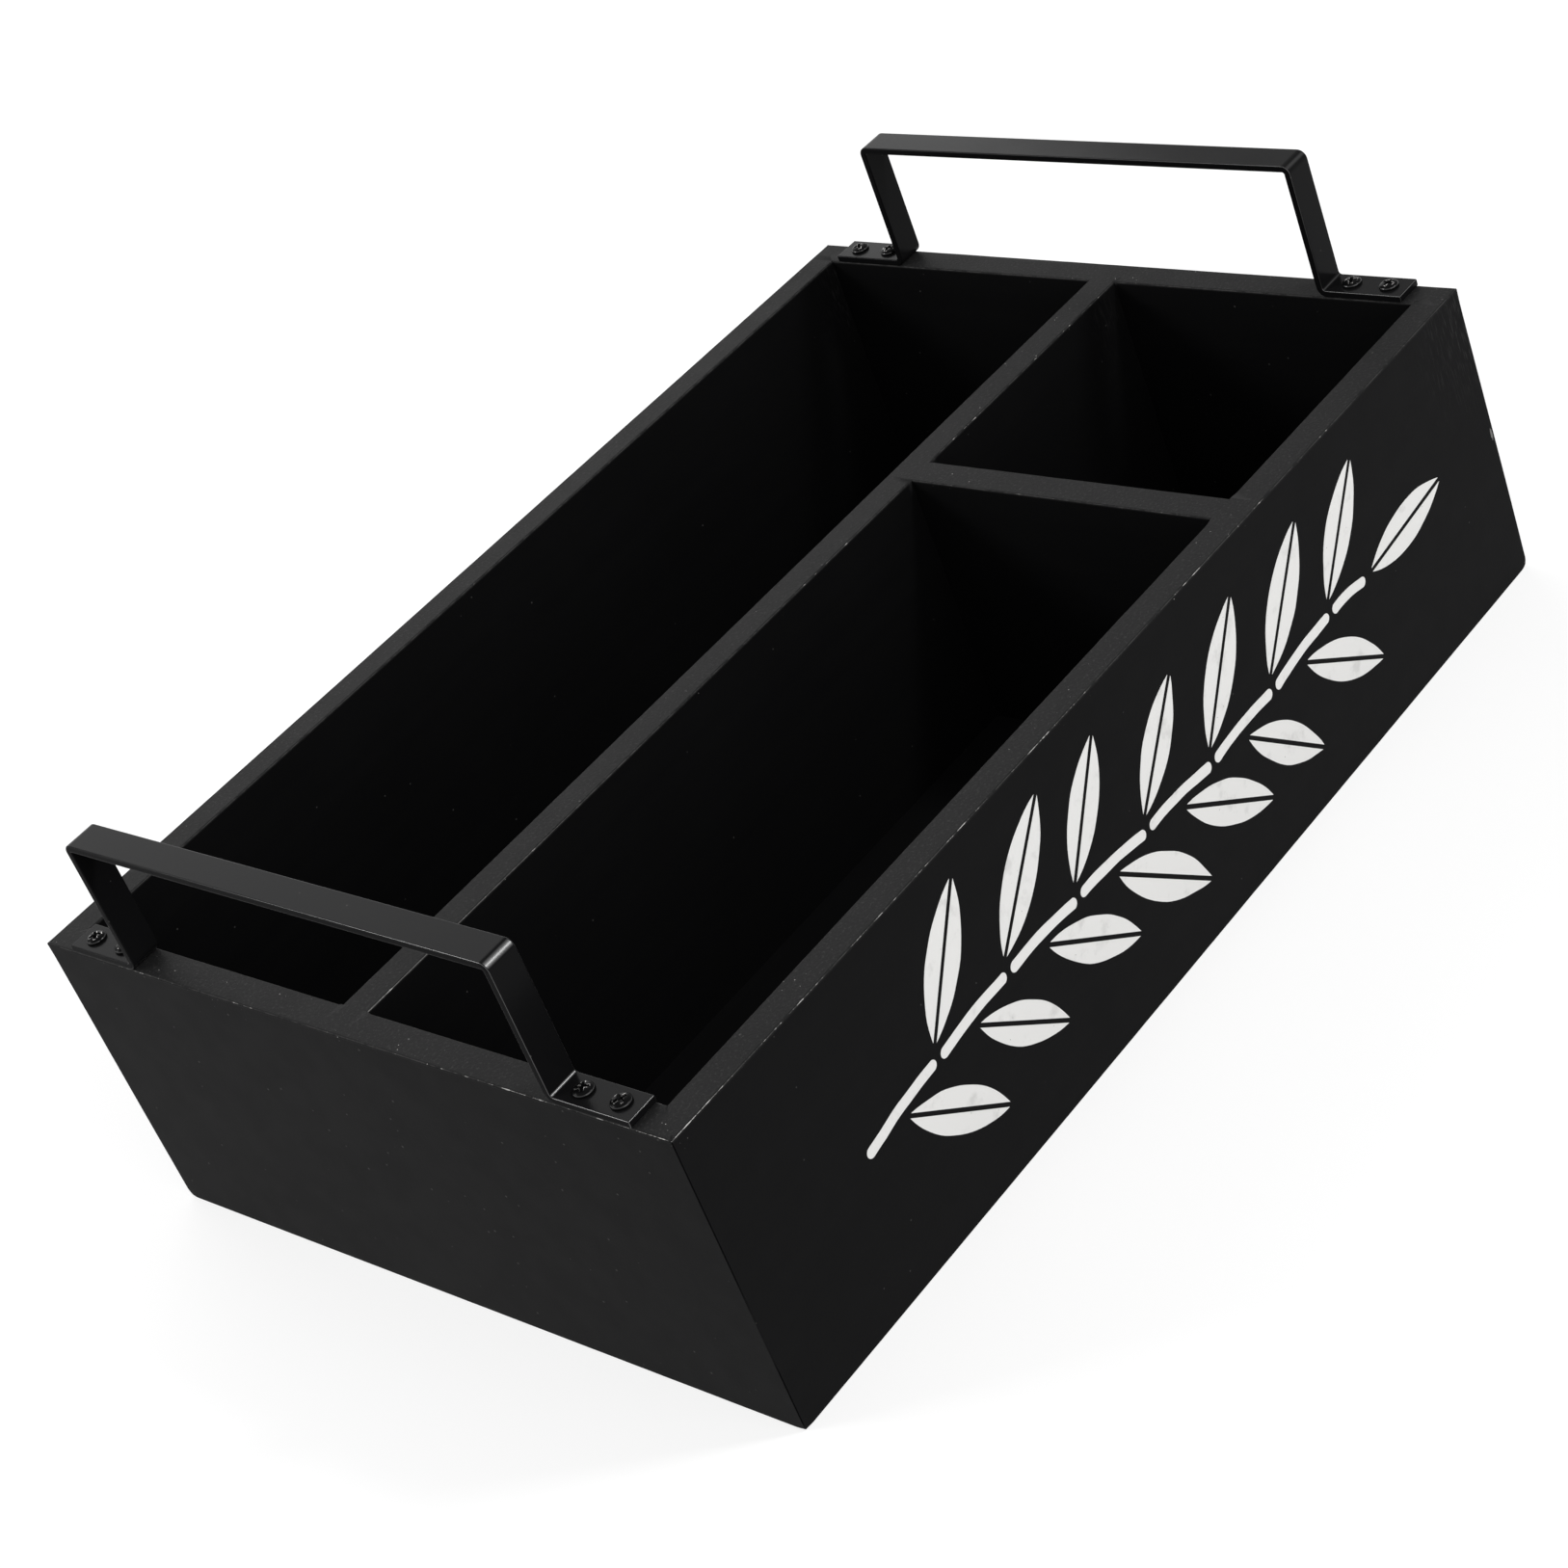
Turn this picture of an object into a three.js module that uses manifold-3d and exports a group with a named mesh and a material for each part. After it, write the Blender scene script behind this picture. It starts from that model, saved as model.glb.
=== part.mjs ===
// Tea bag organizer: an open box of painted boards with three compartments and two strap handles.
// Millimetres, +Z up. The origin is the middle of the footprint, on the surface the box stands on.
// X runs along the long side, and the front panel faces -Y.

import * as THREE from 'three';
import { mergeVertices } from 'three/addons/utils/BufferGeometryUtils.js';
import Module from 'manifold-3d';

// Box
const BOX_LENGTH = 300;
const BOX_DEPTH = 198;
const BOX_HEIGHT = 80;
const WALL_THICKNESS = 8;
const CORNER_EASE = 0.8; // radius on the four upright outer corners
const EDGE_EASE = 0.8; // radius on the long edges of every board
const GLUE_LINE = 0.2; // gap left at each glued joint
const CUT_OVERRUN = 1; // how far a cut runs past the face that it opens

// Bottom board, held in a groove round the inside of the walls
const BOTTOM_THICKNESS = 4;
const BOTTOM_LIFT = 5; // underside of the board above the base
const GROOVE_DEPTH = 4;
const GROOVE_PLAY = 0.3;

// Dividers, flush with the rim, their ends let into housings in the boards that they meet
const DIVIDER_THICKNESS = 8;
const HOUSING_DEPTH = 3;
const HOUSING_PLAY = 0.3; // on each side of the divider
const FRONT_COMPARTMENT_DEPTH = 87;
const SHORT_COMPARTMENT_LENGTH = 80.5; // at the right-hand end of the front row

// Strap handles, one on each short end
const STRAP_WIDTH = 8;
const STRAP_THICKNESS = 1.8;
const STRAP_EDGE = 0.3; // radius on the strap's long edges
const HANDLE_RISE = 36; // rim to the top of the bar
const FOOT_LENGTH = 21.5; // outer face of a leg to the end of its foot
const FOOT_SETBACK = 10.5; // end of a foot to the long side of the box
const BAR_BEND = 0.5; // inside radius where the legs meet the bar
const FOOT_BEND = 0.8; // inside radius where the legs meet the feet

// Pan-head wood screws, two through each foot
const SCREW_LENGTH = 12; // under the head
const SCREW_DIAMETER = 2.4;
const SCREW_TIP = 3;
const SCREW_CLEARANCE = 0.3; // on the radius, in the foot and in the pilot hole
const PILOT_SPARE = 1; // pilot hole below the tip
const SCREW_TO_FOOT_END = 5.3;
const SCREW_TO_LEG = 5.9;
const HEAD_DIAMETER = 4.8;
const HEAD_HEIGHT = 1.3;
const HEAD_RIM = 0.4; // straight part of the head's side
const RECESS_SPAN = 3.2;
const RECESS_SLOT = 0.9;
const RECESS_DEPTH = 0.9;

const ARC_STEPS = 4;
const ROUND_STEPS = 16;

// Places that follow from the sizes above
const INNER_LENGTH = BOX_LENGTH - 2 * WALL_THICKNESS;
const INNER_DEPTH = BOX_DEPTH - 2 * WALL_THICKNESS;
const FLOOR_Z = BOTTOM_LIFT + BOTTOM_THICKNESS;
const DIVIDER_HEIGHT = BOX_HEIGHT - FLOOR_Z;
const LONG_DIVIDER_FRONT = FRONT_COMPARTMENT_DEPTH - INNER_DEPTH / 2;
const LONG_DIVIDER_Y = LONG_DIVIDER_FRONT + DIVIDER_THICKNESS / 2;
const HOUSED_END = HOUSING_DEPTH - GLUE_LINE;
const CROSS_DIVIDER_X = INNER_LENGTH / 2 - SHORT_COMPARTMENT_LENGTH - DIVIDER_THICKNESS / 2;
const RIM_MIDDLE_X = (BOX_LENGTH - WALL_THICKNESS) / 2;
const FOOT_END_Y = BOX_DEPTH / 2 - FOOT_SETBACK;
const LEG_Y = FOOT_END_Y - FOOT_LENGTH;

const paintedWood = new THREE.MeshStandardMaterial({ color: 0x232323, roughness: 0.6, metalness: 0 });
const paintedStrap = new THREE.MeshStandardMaterial({ color: 0x2b2b2b, roughness: 0.45, metalness: 0.2 });
const blackScrew = new THREE.MeshStandardMaterial({ color: 0x262626, roughness: 0.3, metalness: 0.6 });

const wasm = await Module();
wasm.setup();

function solidOf(geometry) {
  const bare = geometry.clone();
  bare.deleteAttribute('normal');
  bare.deleteAttribute('uv');
  const merged = mergeVertices(bare, 1e-4);
  const corners = merged.index.array;
  const triVerts = [];
  for (let i = 0; i < corners.length; i += 3) {
    const [a, b, c] = corners.slice(i, i + 3);
    if (a !== b && b !== c && c !== a) triVerts.push(a, b, c);
  }
  return new wasm.Manifold(new wasm.Mesh({
    numProp: 3,
    vertProperties: new Float32Array(merged.attributes.position.array),
    triVerts: new Uint32Array(triVerts),
  }));
}

function geometryOf(solid) {
  const { vertProperties, triVerts } = solid.getMesh();
  const geometry = new THREE.BufferGeometry();
  geometry.setAttribute('position', new THREE.BufferAttribute(vertProperties, 3));
  geometry.setIndex(new THREE.BufferAttribute(triVerts, 1));
  geometry.computeVertexNormals();
  return geometry;
}

function named(name, geometry, material) {
  const mesh = new THREE.Mesh(geometry, material);
  mesh.name = name;
  return mesh;
}

// A plan outline raised from the base.
function upright(outline, height) {
  return new THREE.ExtrudeGeometry(outline, { depth: height, bevelEnabled: false, curveSegments: ARC_STEPS });
}

// A section drawn in Y and Z, run along X and centred on it.
function alongX(section, length, bevel = { bevelEnabled: false }) {
  const geometry = new THREE.ExtrudeGeometry(section, { depth: length, curveSegments: ARC_STEPS, ...bevel });
  geometry.translate(0, 0, -length / 2);
  const yzx = new THREE.Matrix4().makeBasis(
    new THREE.Vector3(0, 1, 0),
    new THREE.Vector3(0, 0, 1),
    new THREE.Vector3(1, 0, 0),
  );
  return geometry.applyMatrix4(yzx);
}

// Walls: the outer face lies on y = 0 and the board's thickness runs towards +Y. The section carries the
// eased edges and the groove for the bottom board, and the plan carries the mitres and the corners.
function wallSection() {
  const section = new THREE.Shape();
  const inside = WALL_THICKNESS;
  const grooveTop = FLOOR_Z + GROOVE_PLAY;
  section.absarc(EDGE_EASE, EDGE_EASE, EDGE_EASE, Math.PI, 1.5 * Math.PI);
  section.absarc(inside - EDGE_EASE, EDGE_EASE, EDGE_EASE, -0.5 * Math.PI, 0);
  section.lineTo(inside, BOTTOM_LIFT);
  section.lineTo(inside - GROOVE_DEPTH, BOTTOM_LIFT);
  section.lineTo(inside - GROOVE_DEPTH, grooveTop);
  section.lineTo(inside, grooveTop);
  section.absarc(inside - EDGE_EASE, BOX_HEIGHT - EDGE_EASE, EDGE_EASE, 0, 0.5 * Math.PI);
  section.absarc(EDGE_EASE, BOX_HEIGHT - EDGE_EASE, EDGE_EASE, 0.5 * Math.PI, Math.PI);
  section.closePath();
  return section;
}

function wallPlan(length) {
  const plan = new THREE.Shape();
  const arcMiddle = length / 2 - CORNER_EASE;
  const innerHalf = length / 2 - WALL_THICKNESS - GLUE_LINE / Math.SQRT2;
  const shortOfMitre = Math.asin(GLUE_LINE / 2 / CORNER_EASE);
  const mitreAngle = 0.25 * Math.PI + shortOfMitre;
  plan.absarc(arcMiddle, CORNER_EASE, CORNER_EASE, -0.5 * Math.PI, -mitreAngle);
  plan.lineTo(innerHalf, WALL_THICKNESS);
  plan.lineTo(-innerHalf, WALL_THICKNESS);
  plan.absarc(-arcMiddle, CORNER_EASE, CORNER_EASE, Math.PI + mitreAngle, 1.5 * Math.PI);
  plan.closePath();
  return plan;
}

function wallSolid(length) {
  return solidOf(alongX(wallSection(), length)).intersect(solidOf(upright(wallPlan(length), BOX_HEIGHT)));
}

// A housing for the end of a divider, open at the top, cut into the face at faceY towards inward (1 or -1).
function housing(solid, x, faceY, inward, bottom, top) {
  const width = DIVIDER_THICKNESS + 2 * HOUSING_PLAY;
  const depth = HOUSING_DEPTH + CUT_OVERRUN;
  const height = top - bottom + CUT_OVERRUN;
  const cut = new THREE.BoxGeometry(width, depth, height);
  cut.translate(x, faceY + inward * (HOUSING_DEPTH - depth / 2), bottom + height / 2);
  return solid.subtract(solidOf(cut));
}

function housedWall(length, dividerX) {
  return housing(wallSolid(length), dividerX, WALL_THICKNESS, -1, FLOOR_Z, BOX_HEIGHT);
}

// Screw places along a foot, measured from the middle of the handle.
const SCREW_Y = {
  outer: FOOT_END_Y - SCREW_TO_FOOT_END,
  inner: LEG_Y + SCREW_TO_LEG,
};
const SIDES = { front: -1, back: 1 };

function screwHole(bottom, top) {
  const radius = SCREW_DIAMETER / 2 + SCREW_CLEARANCE;
  const hole = new THREE.CylinderGeometry(radius, radius, top - bottom, ROUND_STEPS);
  hole.rotateX(Math.PI / 2);
  hole.translate(0, 0, (top + bottom) / 2);
  return hole;
}

function drill(solid, x, y, bottom, top) {
  return solid.subtract(solidOf(screwHole(bottom, top).translate(x, y, 0)));
}

function pilotHoles(solid) {
  const bottom = BOX_HEIGHT + STRAP_THICKNESS - SCREW_LENGTH - PILOT_SPARE;
  let drilled = solid;
  for (const y of Object.values(SCREW_Y)) {
    for (const side of Object.values(SIDES)) {
      drilled = drill(drilled, side * y, WALL_THICKNESS / 2, bottom, BOX_HEIGHT + CUT_OVERRUN);
    }
  }
  return drilled;
}

function walls() {
  const frontWall = geometryOf(housedWall(BOX_LENGTH, CROSS_DIVIDER_X));
  const rightWall = geometryOf(pilotHoles(housedWall(BOX_DEPTH, LONG_DIVIDER_Y)));
  const backWall = geometryOf(wallSolid(BOX_LENGTH));
  const leftWall = geometryOf(pilotHoles(housedWall(BOX_DEPTH, -LONG_DIVIDER_Y)));
  const front = named('front_panel', frontWall, paintedWood);
  front.position.y = -BOX_DEPTH / 2;
  const right = named('right_end_panel', rightWall, paintedWood);
  right.position.x = BOX_LENGTH / 2;
  right.rotation.z = 0.5 * Math.PI;
  const back = named('back_panel', backWall, paintedWood);
  back.position.y = BOX_DEPTH / 2;
  back.rotation.z = Math.PI;
  const left = named('left_end_panel', leftWall, paintedWood);
  left.position.x = -BOX_LENGTH / 2;
  left.rotation.z = -0.5 * Math.PI;
  return [front, right, back, left];
}

// The bottom board rests on the lower side of the groove.
function bottomPanel() {
  const tongue = GROOVE_DEPTH - GROOVE_PLAY;
  const board = new THREE.BoxGeometry(INNER_LENGTH + 2 * tongue, INNER_DEPTH + 2 * tongue, BOTTOM_THICKNESS);
  const panel = named('bottom_panel', board, paintedWood);
  panel.position.z = BOTTOM_LIFT + BOTTOM_THICKNESS / 2;
  return panel;
}

// Dividers stand on the bottom board, with their eased edges at the rim.
function dividerSection() {
  const half = DIVIDER_THICKNESS / 2;
  const shoulder = DIVIDER_HEIGHT - EDGE_EASE;
  const section = new THREE.Shape();
  section.moveTo(-half, 0);
  section.lineTo(half, 0);
  section.absarc(half - EDGE_EASE, shoulder, EDGE_EASE, 0, 0.5 * Math.PI);
  section.absarc(EDGE_EASE - half, shoulder, EDGE_EASE, 0.5 * Math.PI, Math.PI);
  section.closePath();
  return section;
}

function dividers() {
  const longRun = solidOf(alongX(dividerSection(), INNER_LENGTH + 2 * HOUSED_END));
  const frontFace = -DIVIDER_THICKNESS / 2;
  const longBoard = housing(longRun, CROSS_DIVIDER_X, frontFace, 1, -CUT_OVERRUN, DIVIDER_HEIGHT);
  const long = named('long_divider', geometryOf(longBoard), paintedWood);
  long.position.set(0, LONG_DIVIDER_Y, FLOOR_Z);
  const crossRun = alongX(dividerSection(), FRONT_COMPARTMENT_DEPTH + 2 * HOUSED_END);
  const cross = named('cross_divider', crossRun, paintedWood);
  cross.rotation.z = 0.5 * Math.PI;
  cross.position.set(CROSS_DIVIDER_X, LONG_DIVIDER_FRONT - FRONT_COMPARTMENT_DEPTH / 2, FLOOR_Z);
  return [long, cross];
}

// Handles: the side view of the bent strap, drawn for one leg and mirrored, with the rim at z = 0.
function strapOutline() {
  const legInside = LEG_Y - STRAP_THICKNESS;
  const barUnder = HANDLE_RISE - STRAP_THICKNESS;
  const outerBarBend = BAR_BEND + STRAP_THICKNESS;
  const footBendY = LEG_Y + FOOT_BEND;
  const footBendZ = STRAP_THICKNESS + FOOT_BEND;
  const leg = new THREE.Path();
  leg.absarc(legInside - BAR_BEND, barUnder - BAR_BEND, BAR_BEND, 0.5 * Math.PI, 0, true);
  leg.absarc(footBendY, footBendZ, footBendZ, Math.PI, 1.5 * Math.PI);
  leg.lineTo(FOOT_END_Y, 0);
  leg.lineTo(FOOT_END_Y, STRAP_THICKNESS);
  leg.absarc(footBendY, footBendZ, FOOT_BEND, 1.5 * Math.PI, Math.PI, true);
  leg.absarc(LEG_Y - outerBarBend, HANDLE_RISE - outerBarBend, outerBarBend, 0, 0.5 * Math.PI);
  const points = leg.getPoints(ARC_STEPS);
  const mirrored = points.map((point) => new THREE.Vector2(-point.x, point.y)).reverse();
  return new THREE.Shape([...points, ...mirrored]);
}

function handleSolid() {
  const bevel = {
    bevelSize: STRAP_EDGE,
    bevelThickness: STRAP_EDGE,
    bevelOffset: -STRAP_EDGE,
    bevelSegments: 2,
  };
  let strap = solidOf(alongX(strapOutline(), STRAP_WIDTH - 2 * STRAP_EDGE, bevel));
  for (const y of Object.values(SCREW_Y)) {
    for (const side of Object.values(SIDES)) {
      strap = drill(strap, 0, side * y, -CUT_OVERRUN, STRAP_THICKNESS + CUT_OVERRUN);
    }
  }
  return strap;
}

function screwSolid() {
  const shank = SCREW_DIAMETER / 2;
  const head = HEAD_DIAMETER / 2;
  const crown = HEAD_HEIGHT - HEAD_RIM;
  const profile = new THREE.Path();
  profile.moveTo(0, -SCREW_LENGTH);
  profile.lineTo(shank, SCREW_TIP - SCREW_LENGTH);
  profile.lineTo(shank, 0);
  profile.lineTo(head, 0);
  profile.absellipse(0, HEAD_RIM, head, crown, 0, 0.5 * Math.PI, false, 0);
  const body = new THREE.LatheGeometry(profile.getPoints(ARC_STEPS), ROUND_STEPS);
  body.rotateX(Math.PI / 2);
  const arm = RECESS_SPAN / 2;
  const slot = RECESS_SLOT / 2;
  const cross = new THREE.Shape([
    [arm, -slot], [arm, slot], [slot, slot], [slot, arm], [-slot, arm], [-slot, slot],
    [-arm, slot], [-arm, -slot], [-slot, -slot], [-slot, -arm], [slot, -arm], [slot, -slot],
  ].map(([x, y]) => new THREE.Vector2(x, y)));
  const recess = upright(cross, HEAD_HEIGHT);
  recess.translate(0, 0, HEAD_HEIGHT - RECESS_DEPTH);
  return solidOf(body).subtract(solidOf(recess));
}

function handlesAndScrews() {
  const strap = geometryOf(handleSolid());
  const screw = geometryOf(screwSolid());
  const pieces = [];
  for (const [end, endSign] of [['left', -1], ['right', 1]]) {
    const handle = named(`${end}_handle`, strap, paintedStrap);
    handle.position.set(endSign * RIM_MIDDLE_X, 0, BOX_HEIGHT);
    pieces.push(handle);
    for (const [side, sideSign] of Object.entries(SIDES)) {
      for (const [place, y] of Object.entries(SCREW_Y)) {
        const piece = named(`${end}_${side}_${place}_screw`, screw, blackScrew);
        piece.position.set(endSign * RIM_MIDDLE_X, sideSign * y, BOX_HEIGHT + STRAP_THICKNESS);
        pieces.push(piece);
      }
    }
  }
  return pieces;
}

const organizer = new THREE.Group();
organizer.add(...walls(), bottomPanel(), ...dividers(), ...handlesAndScrews());

export default organizer;
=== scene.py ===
import math

import bmesh
import bpy
from mathutils import Euler, Matrix, Vector, noise


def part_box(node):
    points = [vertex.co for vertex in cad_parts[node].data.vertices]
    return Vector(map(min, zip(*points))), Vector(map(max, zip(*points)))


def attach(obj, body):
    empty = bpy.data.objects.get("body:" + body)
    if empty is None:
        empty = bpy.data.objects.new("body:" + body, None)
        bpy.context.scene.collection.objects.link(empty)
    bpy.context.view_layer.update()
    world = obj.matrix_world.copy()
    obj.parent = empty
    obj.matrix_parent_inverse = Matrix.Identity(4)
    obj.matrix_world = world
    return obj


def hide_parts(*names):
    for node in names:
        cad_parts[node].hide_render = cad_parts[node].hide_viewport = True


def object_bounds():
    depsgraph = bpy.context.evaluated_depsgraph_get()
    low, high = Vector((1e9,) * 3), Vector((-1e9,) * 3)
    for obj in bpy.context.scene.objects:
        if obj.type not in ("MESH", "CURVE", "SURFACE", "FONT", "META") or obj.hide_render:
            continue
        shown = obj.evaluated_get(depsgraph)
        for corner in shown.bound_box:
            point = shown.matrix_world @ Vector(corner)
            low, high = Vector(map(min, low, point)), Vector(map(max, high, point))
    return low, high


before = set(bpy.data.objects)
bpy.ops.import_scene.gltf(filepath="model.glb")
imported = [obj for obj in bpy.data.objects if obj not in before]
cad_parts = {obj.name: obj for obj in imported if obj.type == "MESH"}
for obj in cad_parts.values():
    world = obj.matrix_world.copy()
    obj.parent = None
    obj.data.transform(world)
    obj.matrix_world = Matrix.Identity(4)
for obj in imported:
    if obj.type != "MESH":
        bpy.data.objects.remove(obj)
cad_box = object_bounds()

# Walls: four softwood boards, 8 mm thick, grooved for the bottom board and mitred at their ends.
# They are glued up into a frame, the joints are filled, the edges are eased with sandpaper, and the whole
# is sprayed matt black. The rim has rubbed through, and the mitres have opened a hair as the wood dried.
MM = 0.001
EDGE_EASE = 0.8 * MM
CORNER_EASE = 0.8 * MM
SLICE_RUN = 2.5 * MM
SLICE_RISE = 4.0 * MM
WELD = 0.001 * MM
ON_CUT = 1e-7
JUST_OVER = 1.001
FLAT_ANGLE = math.radians(1.0)
CRISP_ANGLE = math.radians(40.0)
RIM_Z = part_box("front_panel")[1].z
BOX_LENGTH = cad_box[1][0] - cad_box[0][0]
RIM_TIGHTENED = 0.65
NEAR_CORNER_TIGHTENED = 0.45
FRONT_SANDED_BACK = 0.05 * MM
HOUSING_REACH = 3.1 * MM
HOUSING_HALF = 4.31 * MM
MITRE_GLUE = 0.1 * math.sqrt(2.0) * MM
MITRE_TOLERANCE = 0.03 * MM
MITRE_OPENING = 0.60 * MM
MITRE_GAPE_DEPTH = 3.5 * MM
GLUED_BELOW_RIM = (0.8 * MM, 4.8 * MM)
OPEN_UPPER_PART = (0.409 * RIM_Z, 0.864 * RIM_Z)
OPEN_LOWER_PART = (0.25 * RIM_Z, 0.0)
GLUED_AT_FOOT = (0.0167 * RIM_Z, 0.05 * RIM_Z)
FOOT_OPENING = 1.1
OTHER_MITRES_OPENING = 0.25
GAPE_MEAN = 0.85
GAPE_WAVES = ((0.7, 45.0), (0.5, 140.0))
KNOCKED_FOOT = {
    "front_left": 0.22 * MM,
    "front_right": 0.4 * MM,
    "back_left": 0.35 * MM,
    "back_right": 0.4 * MM,
}
KNOCK_REACH = 3.2 * MM
KNOCK_SLICES = (0.9 * MM, 1.5 * MM, 2.3 * MM)
MOST_HANDLED = Vector((cad_box[0][0], cad_box[0][1], RIM_Z))
HANDLED_REACH = 40.0 * MM
CORNER_RUBBED = 0.15
FAR_END_SPARED = 0.16
INSIDE_RUBBED = 0.84
FOOT_RUBBED = 0.6
UPRIGHT_RUBBED = 0.45
ARRIS_LINE = 0.72
EDGE_DENT = 0.07 * MM
DENT_MEAN = 0.5
DENT_WAVES = ((0.6, 330.0), (0.4, 95.0))
WORN_STRETCHES = 70.0
WORN_DASHES = 560.0
DASH_SHARE = 0.6
EDGE_SHARE = 0.5
WORN_THROUGH = (0.96, 1.00)
SPECK_SIZES = (0.05, 0.13)
SPECK_CORE = 0.5
BROAD_GRAIN = (9.0, 210.0, 210.0)
FINE_GRAIN = (28.0, 1100.0, 1100.0)
GRAIN_PATCHES = 24.0
BROAD_HEIGHT_SHARE = 0.6
BROAD_TONE_SHARE = 0.45
TONE_SPAN = (0.32, 0.68)
NOISE_SPAN = (0.3, 0.7)
SANDED_REACH = 26.0 * MM
SANDED_HEIGHT = (0.58 * RIM_Z, 0.82 * RIM_Z)
SANDING_STROKES = (2000.0, 2000.0, 230.0)
STROKES_SHOWN = (0.50, 0.72)
SANDED_PATCHES = 38.0
PATCHES_SHOWN = (0.34, 0.54)
CHIPPED_BAND = (RIM_Z - 2.2 * MM, RIM_Z - 0.5 * EDGE_EASE)
CHIPPED_STRETCHES = 45.0
STRETCHES_SHOWN = (0.54, 0.62)
BLOWS_REACH = (7.0 * MM, 2.1 * MM)
SPLINTER = (cad_box[1][0] - 1.2 * MM, cad_box[0][1], 39.5 * MM)
SPLINTER_SHAPE = (2.2 / MM, 2.2 / MM, 0.5 / MM)
SPLINTER_RAGGED = 1500.0
SPLINTER_SPAN = (1.50, 1.25)
SPLINTER_BARED = 0.35
RIM_BAND = (RIM_Z - EDGE_EASE, RIM_Z - 0.1 * EDGE_EASE)
RIM_SPECKLE = 1300.0
SPECKLE_SHOWN = (0.52, 0.72)
THIN_PATCHES = 420.0
THIN_SHOWN = (0.36, 0.62)
THIN_AND_LIT_BY_WEAR = (0.60, 0.90)
THIN_AND_LIT_BY_ARRIS = (0.40, ARRIS_LINE)
LINE_SHOWN = (ARRIS_LINE, 1.20)
SHEEN_PATCHES = 130.0
PAINT_ROUGHNESS = (0.55, 0.58)
RUBBED_ROUGHNESS = 0.38
PAINT_SPECULAR = 0.04
SKIN_ON_FACES = 0.3
SKIN_ON_RIM = 1.2
GRAIN_HEIGHT = 0.09
PAINT_DARK = (0.0034, 0.0034, 0.0036, 1.0)
PAINT_PALE = (0.0041, 0.0041, 0.0043, 1.0)
# Rim tops: rubbed, speckled paint, painted paler as well to stand in for light falling on the tops.
RIM_PAINT_AND_TOP_LIGHT = (0.0130, 0.0130, 0.0132, 1.0)
RIM_SPECK = (0.0300, 0.0297, 0.0292, 1.0)
# Paler edge colour: paint thinned on the arrises, and a painted highlight along them.
THIN_EDGE_PAINT_AND_HIGHLIGHT = (0.0520, 0.0514, 0.0505, 1.0)
# Bright arris line: a painted highlight on the long divider's left end.
ARRIS_HIGHLIGHT_PAINT = (0.170, 0.167, 0.163, 1.0)
SANDED_PAINT = (0.0230, 0.0228, 0.0225, 1.0)
RUBBED_PAINT = (0.520, 0.510, 0.495, 1.0)
DUST_GREY = (0.060, 0.059, 0.057, 1.0)
WALLS = {
    "front_panel": {"run": 0, "outside": -1, "rubbed": 0.95, "takes": "cross_divider"},
    "back_panel": {"run": 0, "outside": 1, "rubbed": 0.86, "takes": None},
    "left_end_panel": {"run": 1, "outside": -1, "rubbed": 0.90, "takes": "long_divider"},
    "right_end_panel": {"run": 1, "outside": 1, "rubbed": 0.82, "takes": "long_divider"},
}


def place(tree, kind, inputs=None, **settings):
    """A shader node with its settings, and its inputs set to a value or joined to a socket."""
    node = tree.nodes.new(kind)
    for name, value in settings.items():
        setattr(node, name, value)
    for key, value in (inputs or {}).items():
        if isinstance(value, bpy.types.NodeSocket):
            tree.links.new(value, node.inputs[key])
        else:
            node.inputs[key].default_value = value
    return node


def noise_value(tree, vector, scale, detail=3.0, roughness=0.5):
    inputs = {"Vector": vector, "Scale": scale, "Detail": detail, "Roughness": roughness}
    return place(tree, "ShaderNodeTexNoise", inputs).outputs["Fac"]


def stretched(tree, vector, scale):
    inputs = {"Vector": vector, "Scale": scale}
    return place(tree, "ShaderNodeMapping", inputs).outputs["Vector"]


def ramp(tree, value, low, high, to_low=0.0, to_high=1.0):
    inputs = {"Value": value, "From Min": low, "From Max": high, "To Min": to_low, "To Max": to_high}
    return place(tree, "ShaderNodeMapRange", inputs, interpolation_type="SMOOTHSTEP").outputs["Result"]


def maths(tree, operation, first, second):
    return place(tree, "ShaderNodeMath", {0: first, 1: second}, operation=operation).outputs["Value"]


def mix_colour(tree, factor, first, second):
    node = place(tree, "ShaderNodeMix", {0: factor, 6: first, 7: second}, data_type="RGBA")
    return node.outputs[2]


def mix_value(tree, factor, first, second):
    return place(tree, "ShaderNodeMix", {0: factor, 2: first, 3: second}, data_type="FLOAT").outputs[0]


def node_group(name, inputs, outputs):
    group = bpy.data.node_groups.new(name, "ShaderNodeTree")
    for socket, kind in inputs.items():
        group.interface.new_socket(socket, in_out="INPUT", socket_type=kind)
    for socket, kind in outputs.items():
        group.interface.new_socket(socket, in_out="OUTPUT", socket_type=kind)
    return group, group.nodes.new("NodeGroupInput").outputs, group.nodes.new("NodeGroupOutput").inputs


def rubbed_edge_group():
    """Where handling has rubbed an edge bright: broken dashes, in longer and shorter worn stretches."""
    inputs = {"Vector": "NodeSocketVector", "Edge": "NodeSocketFloat", "Amount": "NodeSocketFloat"}
    group, given, put_out = node_group("rubbed_edge", inputs, {"Mask": "NodeSocketFloat"})
    stretch = noise_value(group, given["Vector"], WORN_STRETCHES, detail=2.0)
    dashes = noise_value(group, given["Vector"], WORN_DASHES, roughness=0.6)
    worn = mix_value(group, DASH_SHARE, stretch, dashes)
    reach = maths(group, "MULTIPLY", given["Edge"], given["Amount"])
    level = maths(group, "ADD", worn, maths(group, "MULTIPLY", reach, EDGE_SHARE))
    group.links.new(ramp(group, level, *WORN_THROUGH), put_out["Mask"])
    return group


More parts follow.
